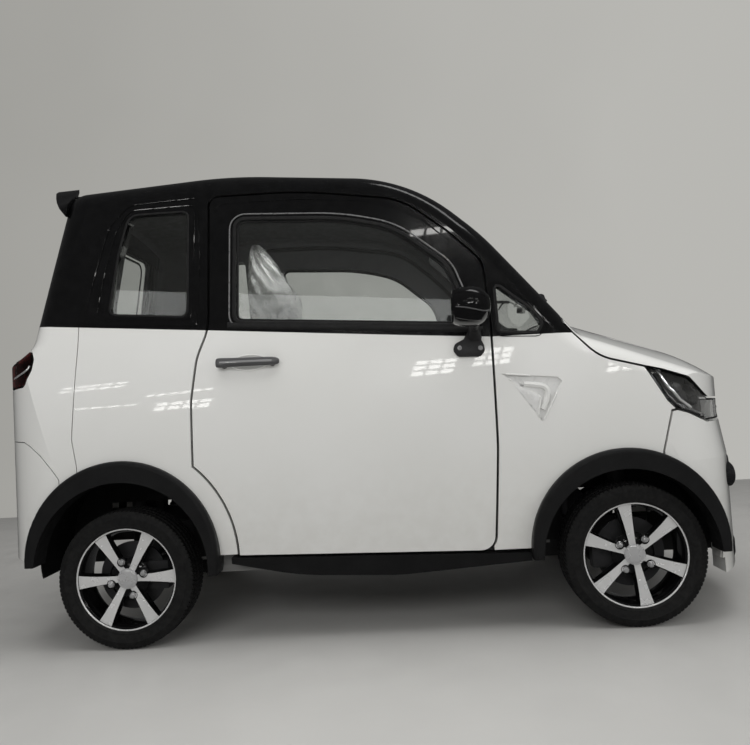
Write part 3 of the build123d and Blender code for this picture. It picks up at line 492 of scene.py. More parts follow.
def sheet(name, corners, below, longest, lift, depth, mat, body, bevel):
    """A thin panel over a skin; below gives the skin's point and normal under a corner."""
    shape = bmesh.new()
    outline_face = shape.faces.new([shape.verts.new(corner) for corner in corners])
    bmesh.ops.triangulate(shape, faces=[outline_face])
    for _ in range(4):
        far = [e for e in shape.edges if e.calc_length() > longest]
        if not far:
            break
        bmesh.ops.subdivide_edges(shape, edges=far, cuts=1)
        bmesh.ops.triangulate(shape, faces=shape.faces[:])
    edge_verts = {v for e in shape.edges if e.is_boundary for v in e.verts}
    verts, faces, index = [], [], {}
    for v in shape.verts:
        point, normal = below(v.co)
        index[v] = len(verts)
        verts.append(point + normal * (lift - (bevel if v in edge_verts else 0.0)))
        verts.append(point - normal * depth)
    for f in shape.faces:
        faces.append(tuple(index[v] for v in f.verts))
        faces.append(tuple(index[v] + 1 for v in reversed(f.verts)))
    for e in shape.edges:
        if e.is_boundary:
            a, b = e.verts
            faces.append((index[a], index[b], index[b] + 1, index[a] + 1))
    shape.free()
    return piece(name, verts, faces, mat, body, sharp=50.0)


def plate(name, outline, skin, sign, lift, depth, mat, body, bevel=0.0012):
    """A thin panel with this (x, z) outline that follows the side; it stands lift proud of it."""
    corners = [(p.x, 0, p.y) for p in outline]
    return sheet(
        name, corners, lambda co: skin.side(co.x, co.z, sign), 0.02, lift, depth, mat, body, bevel
    )


def end_plate(name, outline, skin, way, lift, depth, mat, body, bevel=0.0015):
    """A panel with this (y, z) outline that follows the front or the back."""
    corners = [(0, p.x, p.y) for p in outline]
    return sheet(
        name, corners, lambda co: skin.end(co.y, co.z, way), 0.025, lift, depth, mat, body, bevel
    )


def moulding(name, line, below, radius, mat, body, lift, flat, closed, step):
    """A strip along a line; below gives the skin's point and normal under a point of it."""
    points, ups = [], []
    for p in even(line, step, closed):
        point, normal = below(p)
        points.append(point + normal * lift)
        ups.append(normal)
    return tube(name, points, radius, mat, body, closed=closed, segments=8, flat=flat, up=ups)


def bead(name, line, skin, sign, radius, mat, body, lift=0.0, flat=0.7, closed=True, step=0.012):
    """A moulding laid along an (x, z) line on a side."""
    return moulding(
        name, line, lambda p: skin.side(p.x, p.y, sign), radius, mat, body, lift, flat, closed, step
    )


def end_bead(name, line, skin, way, radius, mat, body, lift=0.0, flat=0.7, closed=False, step=0.012):
    """A moulding laid along a (y, z) line on the front or the back."""
    return moulding(
        name, line, lambda p: skin.end(p.x, p.y, way), radius, mat, body, lift, flat, closed, step
    )


# Wheels
wheels = [
    ("wheel_front_right", 0.830, -1, 39.0),
    ("wheel_front_left", 0.830, 1, 39.0),
    ("wheel_rear_right", -0.825, -1, 1.5),
    ("wheel_rear_left", -0.825, 1, 1.5),
]
axle_z = 0.227
wheel_y = 0.485
tread_pitches = 96


def tyre(body, x, side):
    """Sidewalls with rings and a tread of cut blocks."""
    half = [
        (0.1610, 0.0500), (0.1660, 0.0560), (0.1720, 0.0600), (0.1740, 0.0613), (0.1765, 0.0606),
        (0.1850, 0.0632), (0.1990, 0.0645), (0.2000, 0.0652), (0.2030, 0.0650), (0.2040, 0.0640),
        (0.2110, 0.0620), (0.2150, 0.0602),
    ]
    # lateral stations of the tread: distance from the middle, groove kind
    tread = [
        (0.0585, "edge"), (0.0565, "block"), (0.0420, "block"), (0.0412, "deep"), (0.0350, "deep"),
        (0.0342, "block"), (0.0190, "block"), (0.0182, "deep"), (0.0120, "deep"), (0.0112, "rib"),
    ]
    stations = [(r, y, "wall") for r, y in half]
    for y, kind in tread:
        stations.append((0.2270 - 0.9 * y * y - (0.0028 if kind == "edge" else 0.0), y, kind))
    mirror = [(r, -y, kind) for r, y, kind in reversed(stations)]
    profile = stations + mirror
    cuts = 5
    steps = tread_pitches * cuts
    groove_depth = 0.0055
    cut_depths = {"block": 0.0034, "edge": 0.0038, "rib": 0.0015}
    shoulder_r, shoulder_cut = 0.2100, 0.0014
    block_y, block_skew = 0.035, 1.4
    verts, faces = [], []
    for i in range(steps):
        phase = i % cuts
        for r, y, kind in profile:
            a = 2 * math.pi * i / steps
            drop = 0.0
            if kind in ("block", "edge"):
                a += (abs(y) - block_y) * block_skew * (1 if y > 0 else -1)
            if kind == "deep":
                drop = groove_depth
            elif phase == cuts - 1:
                drop = cut_depths.get(kind, shoulder_cut if r > shoulder_r else 0.0)
            rr = r - drop
            verts.append((x + rr * math.cos(a), side * (wheel_y + y), axle_z + rr * math.sin(a)))
    count = len(profile)
    for i in range(steps):
        k = (i + 1) % steps
        for j in range(count - 1):
            faces.append((i * count + j, k * count + j, k * count + j + 1, i * count + j + 1))
    # the bead side is closed by an inner band
    for i in range(steps):
        k = (i + 1) % steps
        faces.append((i * count, k * count, k * count + count - 1, i * count + count - 1))
    obj = piece(body + "_tread", verts, faces, mats["tyre_rubber"], body, sharp=28.0)
    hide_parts(body + "_tyre")


def rim(body, x, side, phase):
    """A six-spoke wheel: black barrel, machined spoke faces, cap and nuts."""
    base = side * wheel_y
    lip_y = 0.0560
    spokes, nuts = 6, 4
    nut_circle, nut_turn = 0.057, 15.5
    valve_circle, valve_turn = 0.146, 30.0

    def turned(part, profile, mat, slot="alloy", steps=64, out=0.0, turn=0.0, **more):
        """A lathed part whose axis lies out from the wheel's, at the angle turn."""
        place = (x + out * math.cos(turn), base, axle_z + out * math.sin(turn))
        outline = [(r, side * d) for r, d in profile]
        return lathe(body + part, outline, place, mat, body, slot, steps=steps, **more)

    barrel = [
        (0.1580, -0.0540), (0.1670, -0.0550), (0.1675, -0.0500), (0.1590, -0.0470), (0.1560, -0.0300),
        (0.1540, 0.0000), (0.1570, 0.0350), (0.1600, 0.0470), (0.1655, 0.0500), (0.1675, 0.0530),
        (0.1672, 0.0560), (0.1645, 0.0562), (0.1618, 0.0545), (0.1612, 0.0500), (0.1570, 0.0470),
        (0.1530, 0.0340), (0.1500, 0.0000), (0.1520, -0.0300), (0.1550, -0.0470),
    ]
    marks = [1] * len(barrel)
    for j in (9, 10, 11):
        marks[j] = 0
    barrel_obj = turned("_barrel", barrel, [machined, rim_black], steps=96, marks=marks, closed=True)
    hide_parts(body + "_rim")
    verts, faces, marks = [], [], []
    # radius, half width, how far the face lies behind the lip, thickness
    rows = [
        (0.0280, 0.0125, 0.0150, 0.020), (0.0400, 0.0122, 0.0135, 0.024), (0.0600, 0.0132, 0.0115, 0.025),
        (0.0900, 0.0152, 0.0088, 0.025), (0.1200, 0.0180, 0.0070, 0.024), (0.1420, 0.0207, 0.0060, 0.022),
        (0.1560, 0.0228, 0.0056, 0.020), (0.1625, 0.0240, 0.0056, 0.012),
    ]
    chamfer = 0.0016
    for k in range(spokes):
        a = math.radians(phase + 360.0 / spokes * k)
        ca, sa = math.cos(a), math.sin(a)
        start = len(verts)
        for r, w, back, thick in rows:
            face_y = lip_y - back
            section = [
                (-w + chamfer, face_y), (w - chamfer, face_y), (w, face_y - chamfer),
                (w + 0.004, face_y - thick), (-w - 0.004, face_y - thick), (-w, face_y - chamfer),
            ]
            for s, y in section:
                verts.append((x + r * ca - s * sa, base + side * y, axle_z + r * sa + s * ca))
        for i in range(len(rows) - 1):
            for j in range(6):
                n = (j + 1) % 6
                a0 = start + i * 6
                faces.append((a0 + j, a0 + n, a0 + 6 + n, a0 + 6 + j))
                marks.append(0 if j == 0 else 1)
        faces.append(tuple(start + j for j in range(6)))
        marks.append(1)
        faces.append(tuple(start + (len(rows) - 1) * 6 + j for j in range(6)))
        marks.append(1)
    piece(body + "_spokes", verts, faces, [machined, rim_black], body, marks=marks)
    hub = [
        (0.0000, 0.0120), (0.0600, 0.0120), (0.0680, 0.0180), (0.0680, 0.0260), (0.0600, 0.0330),
        (0.0480, 0.0375), (0.0400, 0.0400), (0.0000, 0.0400),
    ]
    turned("_centre", hub, rim_black)
    cap = [
        (0.0000, 0.0390), (0.0330, 0.0390), (0.0335, 0.0440), (0.0315, 0.0465), (0.0305, 0.0460),
        (0.0290, 0.0468), (0.0200, 0.0482), (0.0000, 0.0488),
    ]
    turned("_cap", cap, mats["alloy"], steps=48)
    seat = [
        (0.0000, 0.0300), (0.0150, 0.0300), (0.0150, 0.0462), (0.0142, 0.0468), (0.0122, 0.0440),
        (0.0000, 0.0436),
    ]
    nut = [
        (0.0000, 0.0430), (0.0105, 0.0430), (0.0105, 0.0445), (0.0088, 0.0450), (0.0088, 0.0510),
        (0.0078, 0.0540), (0.0050, 0.0556), (0.0000, 0.0560),
    ]
    for k in range(nuts):
        a = math.radians(phase + nut_turn + 360.0 / nuts * k)
        turned(f"_nut_seat_{k}", seat, rim_black, steps=28, out=nut_circle, turn=a)
        turned(f"_nut_{k}", nut, bright_chrome, steps=12, out=nut_circle, turn=a)
    valve = [(0.0, 0.030), (0.004, 0.030), (0.004, 0.050), (0.0028, 0.053), (0.0, 0.053)]
    a = math.radians(phase + valve_turn)
    turned("_valve", valve, seal_rubber, "tyre_rubber", steps=12, out=valve_circle, turn=a)


for body, x, side, phase in wheels:
    tyre(body, x, side)
    rim(body, x, side, phase if side < 0 else 180.0 - phase)


# Seals, seams and trim on the sides
def grown(points, d):
    """The closed outline moved outwards by d."""
    area = sum(points[i - 1].x * p.y - points[i - 1].y * p.x for i, p in enumerate(points))
    turn = 1.0 if area > 0 else -1.0
    out = []
    count = len(points)
    for i, p in enumerate(points):
        t = points[(i + 1) % count] - points[i - 1]
        if t.length < 1e-9:
            continue
        n = Vector((t.y, -t.x)).normalized() * turn
        out.append(p + n * d)
    return out


def mm(*points):
    """Points given in millimetres."""
    return [Vector((p[0] / 1000.0, p[1] / 1000.0)) for p in points]


door_window = rounded([
    (-0.423, 1.420, 0.030), (-0.060, 1.398, 0.900), (0.120, 1.350, 0.300), (0.290, 1.205, 0.120),
    (0.322, 1.110, 0.060), (0.318, 1.000, 0.025), (-0.425, 1.058, 0.025),
], 8)
quarter_window = rounded([
    (-0.800, 1.462, 0.040), (-0.593, 1.462, 0.020), (-0.590, 1.086, 0.020), (-0.857, 1.110, 0.020),
    (-0.832, 1.320, 0.200),
], 6)
vent_window = rounded([
    (0.444, 1.130, 0.008), (0.560, 1.030, 0.010), (0.583, 0.988, 0.010), (0.568, 0.961, 0.008),
    (0.444, 0.968, 0.008),
], 4)
quarter_panel = rounded([
    (-0.950, 1.078, 0.0), (-0.905, 1.285, 0.500), (-0.868, 1.430, 0.120), (-0.800, 1.502, 0.060),
    (-0.560, 1.512, 0.0),
    (-0.560, 1.506, 0.0), (-0.548, 1.300, 0.0), (-0.556, 1.050, 0.0),
], 6)
quarter_inner = rounded([
    (-0.902, 1.092, 0.020), (-0.884, 1.230, 0.400), (-0.846, 1.405, 0.100), (-0.800, 1.482, 0.050),
    (-0.566, 1.486, 0.020),
    (-0.574, 1.074, 0.020),
], 6)
ornament_outline = rounded([
    (0.440, 0.829, 0.004), (0.618, 0.809, 0.012), (0.632, 0.795, 0.010), (0.557, 0.661, 0.006),
    (0.546, 0.687, 0.006),
    (0.560, 0.745, 0.014), (0.545, 0.765, 0.014), (0.491, 0.785, 0.010), (0.467, 0.808, 0.020),
], 4)
ornament_line = [
    Vector(p) for p in (
        (0.509, 0.792), (0.535, 0.789), (0.560, 0.785), (0.574, 0.780), (0.582, 0.770), (0.583, 0.757),
        (0.579, 0.740), (0.572, 0.722), (0.564, 0.707),
    )
]


for sign, hand in hands:
    door = "door_" + hand
    on_door = Skin(door + "_frame", door + "_shell", door + "_glass")
    on_body = Skin("cabin_frame", "side_glass", "front_fenders", "rear_fenders", "rear_corners")
    # the run channel of the window, with a bright edge strip outside it
    bead(
        door + "_seal", grown(door_window, 0.004), on_door, sign, 0.0068, seal_rubber, door,
        0.0008, 0.42
    )
    bead(
        door + "_seal_lip", grown(door_window, -0.006), on_door, sign, 0.0042, seal_rubber, door,
        0.0, 0.7
    )
    strip = [p for p in grown(door_window, 0.021) if not (p.y < 1.075 and p.x > -0.43)]
    first = max(range(len(strip)), key=lambda i: (strip[i] - strip[i - 1]).length)
    strip = strip[first:] + strip[:first]
    bead(
        door + "_strip", strip, on_door, sign, 0.0026, satin_strip, door, 0.0004, 0.6, False
    )
    sill_line = mm((-452, 1046), (-300, 1034), (-100, 1018), (100, 1002), (300, 985), (392, 978))
    bead(
        door + "_waist", sill_line, on_door, sign, 0.0110, seal_rubber, door, 0.0, 0.34,
        False
    )
    edge_line = mm(
        (-496, 1458), (-484, 1478), (-455, 1486), (-200, 1481), (0, 1462), (112, 1434), (218, 1374),
        (312, 1284)
    )
    bead(
        door + "_drip", edge_line, on_door, sign, 0.0022, edge_black, door, 0.0006, 0.8,
        False
    )
    # rear side window panel and the small front window
    for part, line, radius, mat, slot, lift, flat in (
        ("quarter_line_", quarter_panel, 0.0024, edge_black, "black_paint", 0.0008, 0.8),
        ("quarter_step_", quarter_inner, 0.0019, edge_black, "black_paint", 0.0007, 0.8),
        ("quarter_seal_", grown(quarter_window, 0.002), 0.0040, seal_rubber, "dark_plastic", 0.0, 0.5),
        ("vent_seal_", grown(vent_window, 0.003), 0.0052, seal_rubber, "dark_plastic", 0.0004, 0.5),
        ("vent_frame_", grown(vent_window, 0.016), 0.0014, edge_black, "black_paint", 0.0004, 0.8),
    ):
        bead(part + hand, line, on_body, sign, radius, mat, "body", lift, flat)
    # pressed ornament on the front fender; the grey plate on the recess floor is painted shade, the floor's
    # own colour is the white paint
    plate(
        "ornament_floor_shade_" + hand, grown(ornament_outline, -0.003), on_body, sign, 0.0004, 0.001,
        painted_recess_shade, "body", 0.0
    )
    bead(
        "ornament_edge_" + hand, ornament_outline, on_body, sign, 0.0030, mats["white_paint"], "body",
        0.0, 0.8, step=0.006
    )
    bead(
        "ornament_rib_" + hand, ornament_line, on_body, sign, 0.0098, mats["white_paint"], "body",
        0.0, 0.85, False, 0.005
    )
    # oval dish behind the handle; the grey plate on its floor is painted shade of the hollow, the dish
    # itself is white paint
    dish_turns = [math.tau * k / 48 for k in range(48)]
    dish = [Vector((-0.380 + 0.066 * math.cos(a), 0.915 + 0.0255 * math.sin(a))) for a in dish_turns]
    bead(
        door + "_dish", dish, on_door, sign, 0.0030, mats["white_paint"], door, -0.0006, 0.8,
        step=0.006
    )
    plate(
        door + "_dish_floor_shade", grown(dish, -0.003), on_door, sign, 0.0004, 0.001, painted_dish_shade, door,
        0.0
    )

# Door handles
for sign, hand in hands:
    door = "door_" + hand
    on_door = Skin(door + "_shell")
    points, ups, taper = [], [], []
    shape = (
        (-0.4860, 0.55, 0.020), (-0.4845, 0.80, 0.020), (-0.4800, 0.96, 0.020), (-0.4720, 1.00, 0.020),
        (-0.4600, 0.98, 0.020),
        (-0.4350, 0.93, 0.021), (-0.4000, 0.90, 0.022), (-0.3600, 0.89, 0.022), (-0.3250, 0.88, 0.021),
        (-0.3000, 0.84, 0.019),
        (-0.2880, 0.74, 0.017), (-0.2810, 0.58, 0.015), (-0.2780, 0.35, 0.014),
    )
    for x, wide, out in shape:
        point, normal = on_door.side(x, 0.9165 - (x + 0.49) * 0.018, sign)
        points.append(point + normal * out)
        ups.append(normal)
        taper.append(wide)
    grip = tube(
        door + "_grip", points, 0.0165, handle_metal, door, segments=24, flat=0.50, up=ups,
        taper=taper
    )
    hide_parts(door + "_handle")
    # painted highlight: a bright chrome strip along the front of the grip where the light catches it
    grip_highlight_points = [p + n * 0.0072 for p, n in zip(points[3:-3], ups[3:-3])]
    tube(
        door + "_grip_highlight", grip_highlight_points, 0.0038, bright_chrome, door, segments=10, flat=0.45,
        up=ups[3:-3]
    )
    for x in (-0.462, -0.302):
        point, normal = on_door.side(x, 0.915, sign)
        post = [point - normal * 0.002, point + normal * 0.010, point + normal * 0.018]
        tube(
            f"{door}_grip_post_{abs(int(x * 1000))}", post, 0.0105, black_nylon, door,
            segments=16, flat=1.2, taper=[1.25, 1.0, 0.9]
        )

# Door mirrors
mirror_x, mirror_y, mirror_z = 0.345, 0.650, 1.041
plate_outline = rounded([
    (0.346, 0.985, 0.004), (0.334, 0.951, 0.020), (0.298, 0.935, 0.018), (0.289, 0.914, 0.018),
    (0.305, 0.892, 0.016),
    (0.377, 0.889, 0.016), (0.393, 0.906, 0.016), (0.391, 0.926, 0.016), (0.383, 0.944, 0.012),
    (0.384, 0.985, 0.004),
], 5)
head = [
    (0.0000, -0.0470), (0.0455, -0.0470), (0.0462, -0.0540), (0.0500, -0.0565), (0.0545, -0.0520),
    (0.0590, -0.0380),
    (0.0618, -0.0200), (0.0628, -0.0020), (0.0615, 0.0150), (0.0570, 0.0300), (0.0490, 0.0425),
    (0.0380, 0.0520),
    (0.0250, 0.0585), (0.0120, 0.0615), (0.0000, 0.0625),
]
for sign, hand in hands:
    door = "door_" + hand
    on_door = Skin(door + "_frame", door + "_shell", door + "_glass")
    plate(
        "mirror_plate_" + hand, plate_outline, on_door, sign, 0.0085, 0.002, black_nylon, door,
        0.002
    )
    centre = Vector((mirror_x, sign * mirror_y, mirror_z))
    shell = lathe(
        "mirror_shell_" + hand, head[1:], centre, mats["mirror_black"], door, "mirror_black", steps=72,
        axis="X"
    )
    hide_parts("mirror_" + hand)
    lathe(
        "mirror_face_" + hand, [(0.0, -0.0485), (0.0462, -0.0485), (0.0470, -0.0470), (0.0, -0.0470)],
        centre, mirror_face, door, "chrome_trim", steps=72, axis="X"
    )

    def on_head(along, lean, lift):
        """A point on the mirror shell: distance along x and an angle down from level."""
        radius = 0.0
        for (r0, d0), (r1, d1) in zip(head, head[1:]):
            if d0 <= along <= d1:
                radius = r0 + (r1 - r0) * (along - d0) / (d1 - d0)
        radius += lift
        return centre + Vector((along, sign * radius * math.cos(lean), radius * math.sin(lean)))

    ridge, lower, brow = [], [], []
    for k in range(25):
        along = -0.050 + 0.104 * k / 24
        ridge.append(on_head(along, math.radians(-6.0 - 24.0 * (k / 24) ** 1.5), 0.0006))
        brow.append(on_head(along, math.radians(46.0 - 20.0 * (k / 24)), 0.0002))
        if k < 19:
            lower.append(on_head(along, math.radians(-40.0 - 16.0 * (k / 24)), 0.0004))
    tube("mirror_ridge_" + hand, ridge, 0.0034, handle_metal, door, segments=10, flat=0.7)
    tube("mirror_low_ridge_" + hand, lower, 0.0022, edge_black, door, segments=8)
    tube("mirror_brow_" + hand, brow, 0.0014, edge_black, door, segments=8)
    foot, out = on_door.side(0.364, 0.952, sign)
    neck = [
        foot + out * 0.004, foot + out * 0.016 + Vector((0, 0, 0.012)),
        foot + out * 0.036 + Vector((-0.004, 0, 0.026)),
        Vector((0.356, sign * 0.634, 0.991)), Vector((0.350, sign * 0.646, 1.012)),
    ]
    tube(
        "mirror_neck_" + hand, neck, 0.0170, black_nylon, door, segments=18,
        taper=[1.30, 1.05, 0.95, 1.05, 1.35], flat=0.8
    )
    lathe(
        "mirror_collar_" + hand,
        [(0.0, -0.004), (0.0215, -0.004), (0.0235, 0.000), (0.0215, 0.004), (0.0, 0.004)],
        (0.353, sign * 0.640, 1.000), seal_rubber, door, "dark_plastic", steps=28, axis="Z"
    )
    for k, (x, z) in enumerate(((0.3115, 0.9195), (0.3785, 0.9160))):
        point, normal = on_door.side(x, z, sign)
        seat = point + normal * 0.0085
        screw = [
            (0.0, -0.001), (0.0075, -0.001), (0.0078, 0.0008), (0.0062, 0.0026), (0.0034, 0.0032),
            (0.0028, 0.0012), (0.0, 0.0012),
        ]
        lathe(
            f"mirror_screw_{hand}_{k}", [(r, sign * d) for r, d in screw], seat, bright_chrome, door,
            "chrome_trim", steps=18
        )

# Lamps
for sign, hand in hands:
    floor_of_lamp = Skin("headlamps")
    lens_of_lamp = Skin("headlamp_lenses")

    def lamp_line(name, line, radius, mat, lift, step=0.006, flat=0.8, skin=floor_of_lamp):
        return bead(
            name + "_" + hand, line, skin, sign, radius, mat, "body", lift, flat, False, step
        )

    lamp_line("lamp_edge", mm((906, 818), (950, 806), (1032, 776), (1084, 734)), 0.0030, lamp_dark, 0.030)
    lamp_line(
        "lamp_guide", mm((930, 812), (965, 762), (1000, 712), (1034, 686)), 0.0050, bright_chrome, 0.022
    )
    lamp_line(
        "lamp_guide_low", mm((916, 806), (950, 752), (985, 702), (1012, 690)), 0.0022, handle_metal, 0.024
    )
    lamp_line("lamp_tube", mm((1000, 690), (1050, 672), (1100, 656)), 0.0060, handle_metal, 0.016)
    wedge = rounded(
        [
            (0.940, 0.806, 0.006), (1.020, 0.786, 0.010), (1.060, 0.756, 0.010), (1.034, 0.700, 0.010),
            (1.010, 0.712, 0.006)
        ],
        4
    )
    plate(
        "lamp_bezel_" + hand, wedge, floor_of_lamp, sign, 0.012, 0.001, lamp_dark, "body",
        0.003
    )
    point, normal = floor_of_lamp.side(1.058, 0.722, sign)
    eye = Vector((1.052, sign * (abs(point.y) - 0.006), 0.724))
    projector = [
        (0.0, -0.020), (0.034, -0.020), (0.036, 0.010), (0.034, 0.022), (0.031, 0.024), (0.029, 0.019),
        (0.028, 0.012),
        (0.024, 0.020), (0.016, 0.0265), (0.008, 0.0295), (0.0, 0.030),
    ]
    marks = [1, 1, 1, 0, 0, 0, 2, 2, 2, 2]
    lathe(
        "lamp_projector_" + hand, projector, eye, [bright_chrome, lamp_dark, projector_glass], "body",
        "chrome_trim",
        steps=40, axis="X", marks=marks,
    )
    rim_line = mm((897, 827), (920, 789), (958, 714), (986, 684), (1023, 673), (1094, 640))
    bead(
        "lamp_gasket_" + hand, rim_line, lens_of_lamp, sign, 0.0018, seal_rubber, "body",
        -0.0006, 0.8, False, 0.008
    )
    # tail lamp: smoked lens with a bright curved line
    tail = Skin("tail_lamp_lenses")
    curve = mm((-1200, 912), (-1180, 917), (-1160, 923), (-1140, 930), (-1128, 940), (-1122, 950))
    bead(
        "tail_line_" + hand, curve, tail, sign, 0.0034, bright_chrome, "body", 0.0008, 0.6,
        False, 0.006
    )
    step_line = mm((-1190, 985), (-1186, 960), (-1184, 930))
    bead(
        "tail_rib_" + hand, step_line, tail, sign, 0.0016, lamp_dark, "body", 0.0004, 0.8,
        False, 0.006
    )

# Wipers
screen_skin = Skin("windscreen")
cowl_skin = Skin("windscreen", "cabin_frame", "bonnet")


for k, (px, py, tip) in enumerate(((0.634, -0.385, (0.640, 0.060)), (0.634, 0.090, (0.572, 0.340)))):
    foot = cowl_skin.top(px, py)[0]
    lathe(
        f"wiper_cap_{k}",
        [(0.0, -0.006), (0.019, -0.006), (0.019, 0.006), (0.016, 0.016), (0.010, 0.020), (0.0, 0.021)],
        foot, black_nylon, "body", "dark_plastic", steps=24, axis="Z",
    )
    arm = []
    for i in range(13):
        t = i / 12
        x = px + (tip[0] - px) * t
        y = py + (tip[1] - py) * t
        lift = 0.012 + 0.012 * math.sin(math.pi * t)
        arm.append(cowl_skin.top(x - 0.02 * math.sin(math.pi * t), y, lift)[0])
    tube(
        f"wiper_arm_{k}", arm, 0.0055, black_nylon, "body", segments=10, flat=0.6,
        taper=[1.3 - 0.6 * i / 12 for i in range(13)]
    )
    blade = []
    for i in range(17):
        t = i / 16
        x = px + (tip[0] - px) * (0.22 + 0.9 * t) - 0.030
        y = py + (tip[1] - py) * (0.22 + 0.9 * t)
        blade.append(screen_skin.top(x, y, 0.006)[0])
    tube(f"wiper_blade_{k}", blade, 0.0048, seal_rubber, "body", segments=8, flat=1.3)


# Weatherstrips behind the door edges
def door_edge(skin, sign, centre, count=200):
    """Where the door ends, all round, seen from the side."""
    out = []
    for k in range(count):
        a = math.tau * k / count
        c, s = math.cos(a), math.sin(a)
        reach, r = 0.1, 0.1
        while r < 0.95:
            hit, _ = skin.cast((centre[0] + r * c, sign * 2.0, centre[1] + r * s), (0, -sign, 0))
            if hit is not None and hit.y * sign > 0.25:
                reach = r
            r += 0.004
        out.append(Vector((centre[0] + (reach + 0.002) * c, centre[1] + (reach + 0.002) * s)))
    return out


for sign, hand in hands:
    door = "door_" + hand
    on_door = Skin(door + "_frame", door + "_shell", door + "_glass")
    edge = door_edge(on_door, sign, (-0.10, 0.86))
    count = len(edge)
    smooth = [(edge[i - 1] + edge[i] * 2 + edge[(i + 1) % count]) / 4 for i in range(count)]
    line = grown(smooth, 0.003)
    points, inner, ups = [], [], []
    for p, q in zip(line, grown(smooth, -0.009)):
        point, normal = on_door.side(q.x, q.y, sign)
        back = Vector((p.x, point.y, p.y)) - Vector((0, sign, 0)) * 0.030
        points.append(back)
        inner.append(back - Vector((0, sign, 0)) * 0.014)
        ups.append(Vector((0, sign, 0)))
    tube(
        "doorway_seal_" + hand, points, 0.0088, seal_rubber, "body", closed=True,
        segments=10, up=ups
    )
    tube(
        "doorway_lip_" + hand, inner, 0.0060, seal_rubber, "body", closed=True, segments=8,
        up=ups
    )


# Tailgate seal
def rear_edge(skin, centre, count=160):
    """Just outside and just inside the tailgate's edge, all round, as (y, z, y, z)."""
    out = []
    for k in range(count):
        a = math.tau * k / count
        c, s = math.cos(a), math.sin(a)
        reach, r = 0.05, 0.05
        while r < 0.70:
            hit, _ = skin.cast((-2.0, centre[0] + r * c, centre[1] + r * s), (1, 0, 0))
            if hit is not None and hit.x < -0.9:
                reach = r
            r += 0.004
        out.append(
            (
                centre[0] + (reach + 0.004) * c, centre[1] + (reach + 0.004) * s,
                centre[0] + (reach - 0.010) * c, centre[1] + (reach - 0.010) * s
            )
        )
    return out


gate_skin = Skin("tailgate", "tailgate_glass")
gate_points = []
for y, z, yi, zi in rear_edge(gate_skin, (0.0, 1.15)):
    hit, _ = gate_skin.cast((-2.0, yi, zi), (1, 0, 0))
    if hit is None:
        continue
    gate_points.append(Vector((hit.x + 0.034, y, z)))
soft_gate = [
    (gate_points[i - 1] + gate_points[i] * 2 + gate_points[(i + 1) % len(gate_points)]) / 4
    for i in range(len(gate_points))
]
tube(
    "tailgate_seal", soft_gate, 0.0085, seal_rubber, "body", closed=True, segments=10,
    up=Vector((-1, 0, 0))
)


# Seats
def pad_mesh(name, a, b, c, shape, cells=(16, 16, 6), power=5.0):
    """A closed crowned block; shape(u, v, w) moves a corner of the unit block to its place."""
    made = bmesh.new()
    grid = {}
    nx, ny, nz = cells

    def vert(i, j, k):
        key = (i, j, k)
        if key not in grid:
            u, v, w = 2.0 * i / nx - 1.0, 2.0 * j / ny - 1.0, 2.0 * k / nz - 1.0
            big = max(abs(u), abs(v), abs(w))
            norm = (abs(u) ** power + abs(v) ** power + abs(w) ** power) ** (1.0 / power)
            u, v, w = (t * big / norm for t in (u, v, w))
            grid[key] = made.verts.new(shape(u, v, w, a, b, c))
        return grid[key]

    for i in range(nx):
        for j in range(ny):
            made.faces.new((vert(i, j, 0), vert(i, j + 1, 0), vert(i + 1, j + 1, 0), vert(i + 1, j, 0)))
            made.faces.new((vert(i, j, nz), vert(i + 1, j, nz), vert(i + 1, j + 1, nz), vert(i, j + 1, nz)))
    for i in range(nx):
        for k in range(nz):
            made.faces.new((vert(i, 0, k), vert(i + 1, 0, k), vert(i + 1, 0, k + 1), vert(i, 0, k + 1)))
            made.faces.new((vert(i, ny, k), vert(i, ny, k + 1), vert(i + 1, ny, k + 1), vert(i + 1, ny, k)))
    for j in range(ny):
        for k in range(nz):
            made.faces.new((vert(0, j, k), vert(0, j, k + 1), vert(0, j + 1, k + 1), vert(0, j + 1, k)))
            made.faces.new((vert(nx, j, k), vert(nx, j + 1, k), vert(nx, j + 1, k + 1), vert(nx, j, k + 1)))
    bmesh.ops.recalc_face_normals(made, faces=made.faces)
    data = bpy.data.meshes.new(name)
    made.to_mesh(data)
    made.free()
    return data


def inflate(obj, voxel, cap, pressure=4.0):
    """Voxel remesh and a short cloth run with air inside, then one subdivision."""
    bpy.context.view_layer.objects.active = obj
    again = obj.modifiers.new("remesh", "REMESH")
    again.mode = "VOXEL"
    again.voxel_size = voxel
    bpy.ops.object.modifier_apply(modifier=again.name)
    start = [v.co.copy() for v in obj.data.vertices]
    cloth_mod = obj.modifiers.new("cloth", "CLOTH")
    settings = cloth_mod.settings
    settings.quality = 4
    settings.use_pressure = True
    settings.uniform_pressure_force = pressure
    settings.tension_stiffness = 12.0
    settings.compression_stiffness = 12.0
    settings.bending_stiffness = 0.6
    settings.effector_weights.gravity = 0.0
    cloth_mod.collision_settings.use_self_collision = False
    for f in range(1, 21):
        scene.frame_set(f)
    bpy.ops.object.modifier_apply(modifier=cloth_mod.name)
    scene.frame_set(1)
    for v, s in zip(obj.data.vertices, start):
        move = v.co - s
        if move.length > cap:
            v.co = s + move.normalized() * cap
    sub = obj.modifiers.new("sub", "SUBSURF")
    sub.levels = 1
    sub.render_levels = 1
    bpy.ops.object.modifier_apply(modifier=sub.name)


def sew(obj, channels):
    """Presses sewn lines into the cover; channels gives (distance, depth, width) for a point."""
    data = obj.data
    data.update()
    normals = [v.normal.copy() for v in data.vertices]
    for v, n in zip(data.vertices, normals):
        push = 0.0
        for distance, depth, width in channels(v.co, n):
            if distance < width * 3:
                push += depth * math.exp(-((distance / width) ** 2))
        v.co -= n * push
    for face in data.polygons:
        face.use_smooth = True


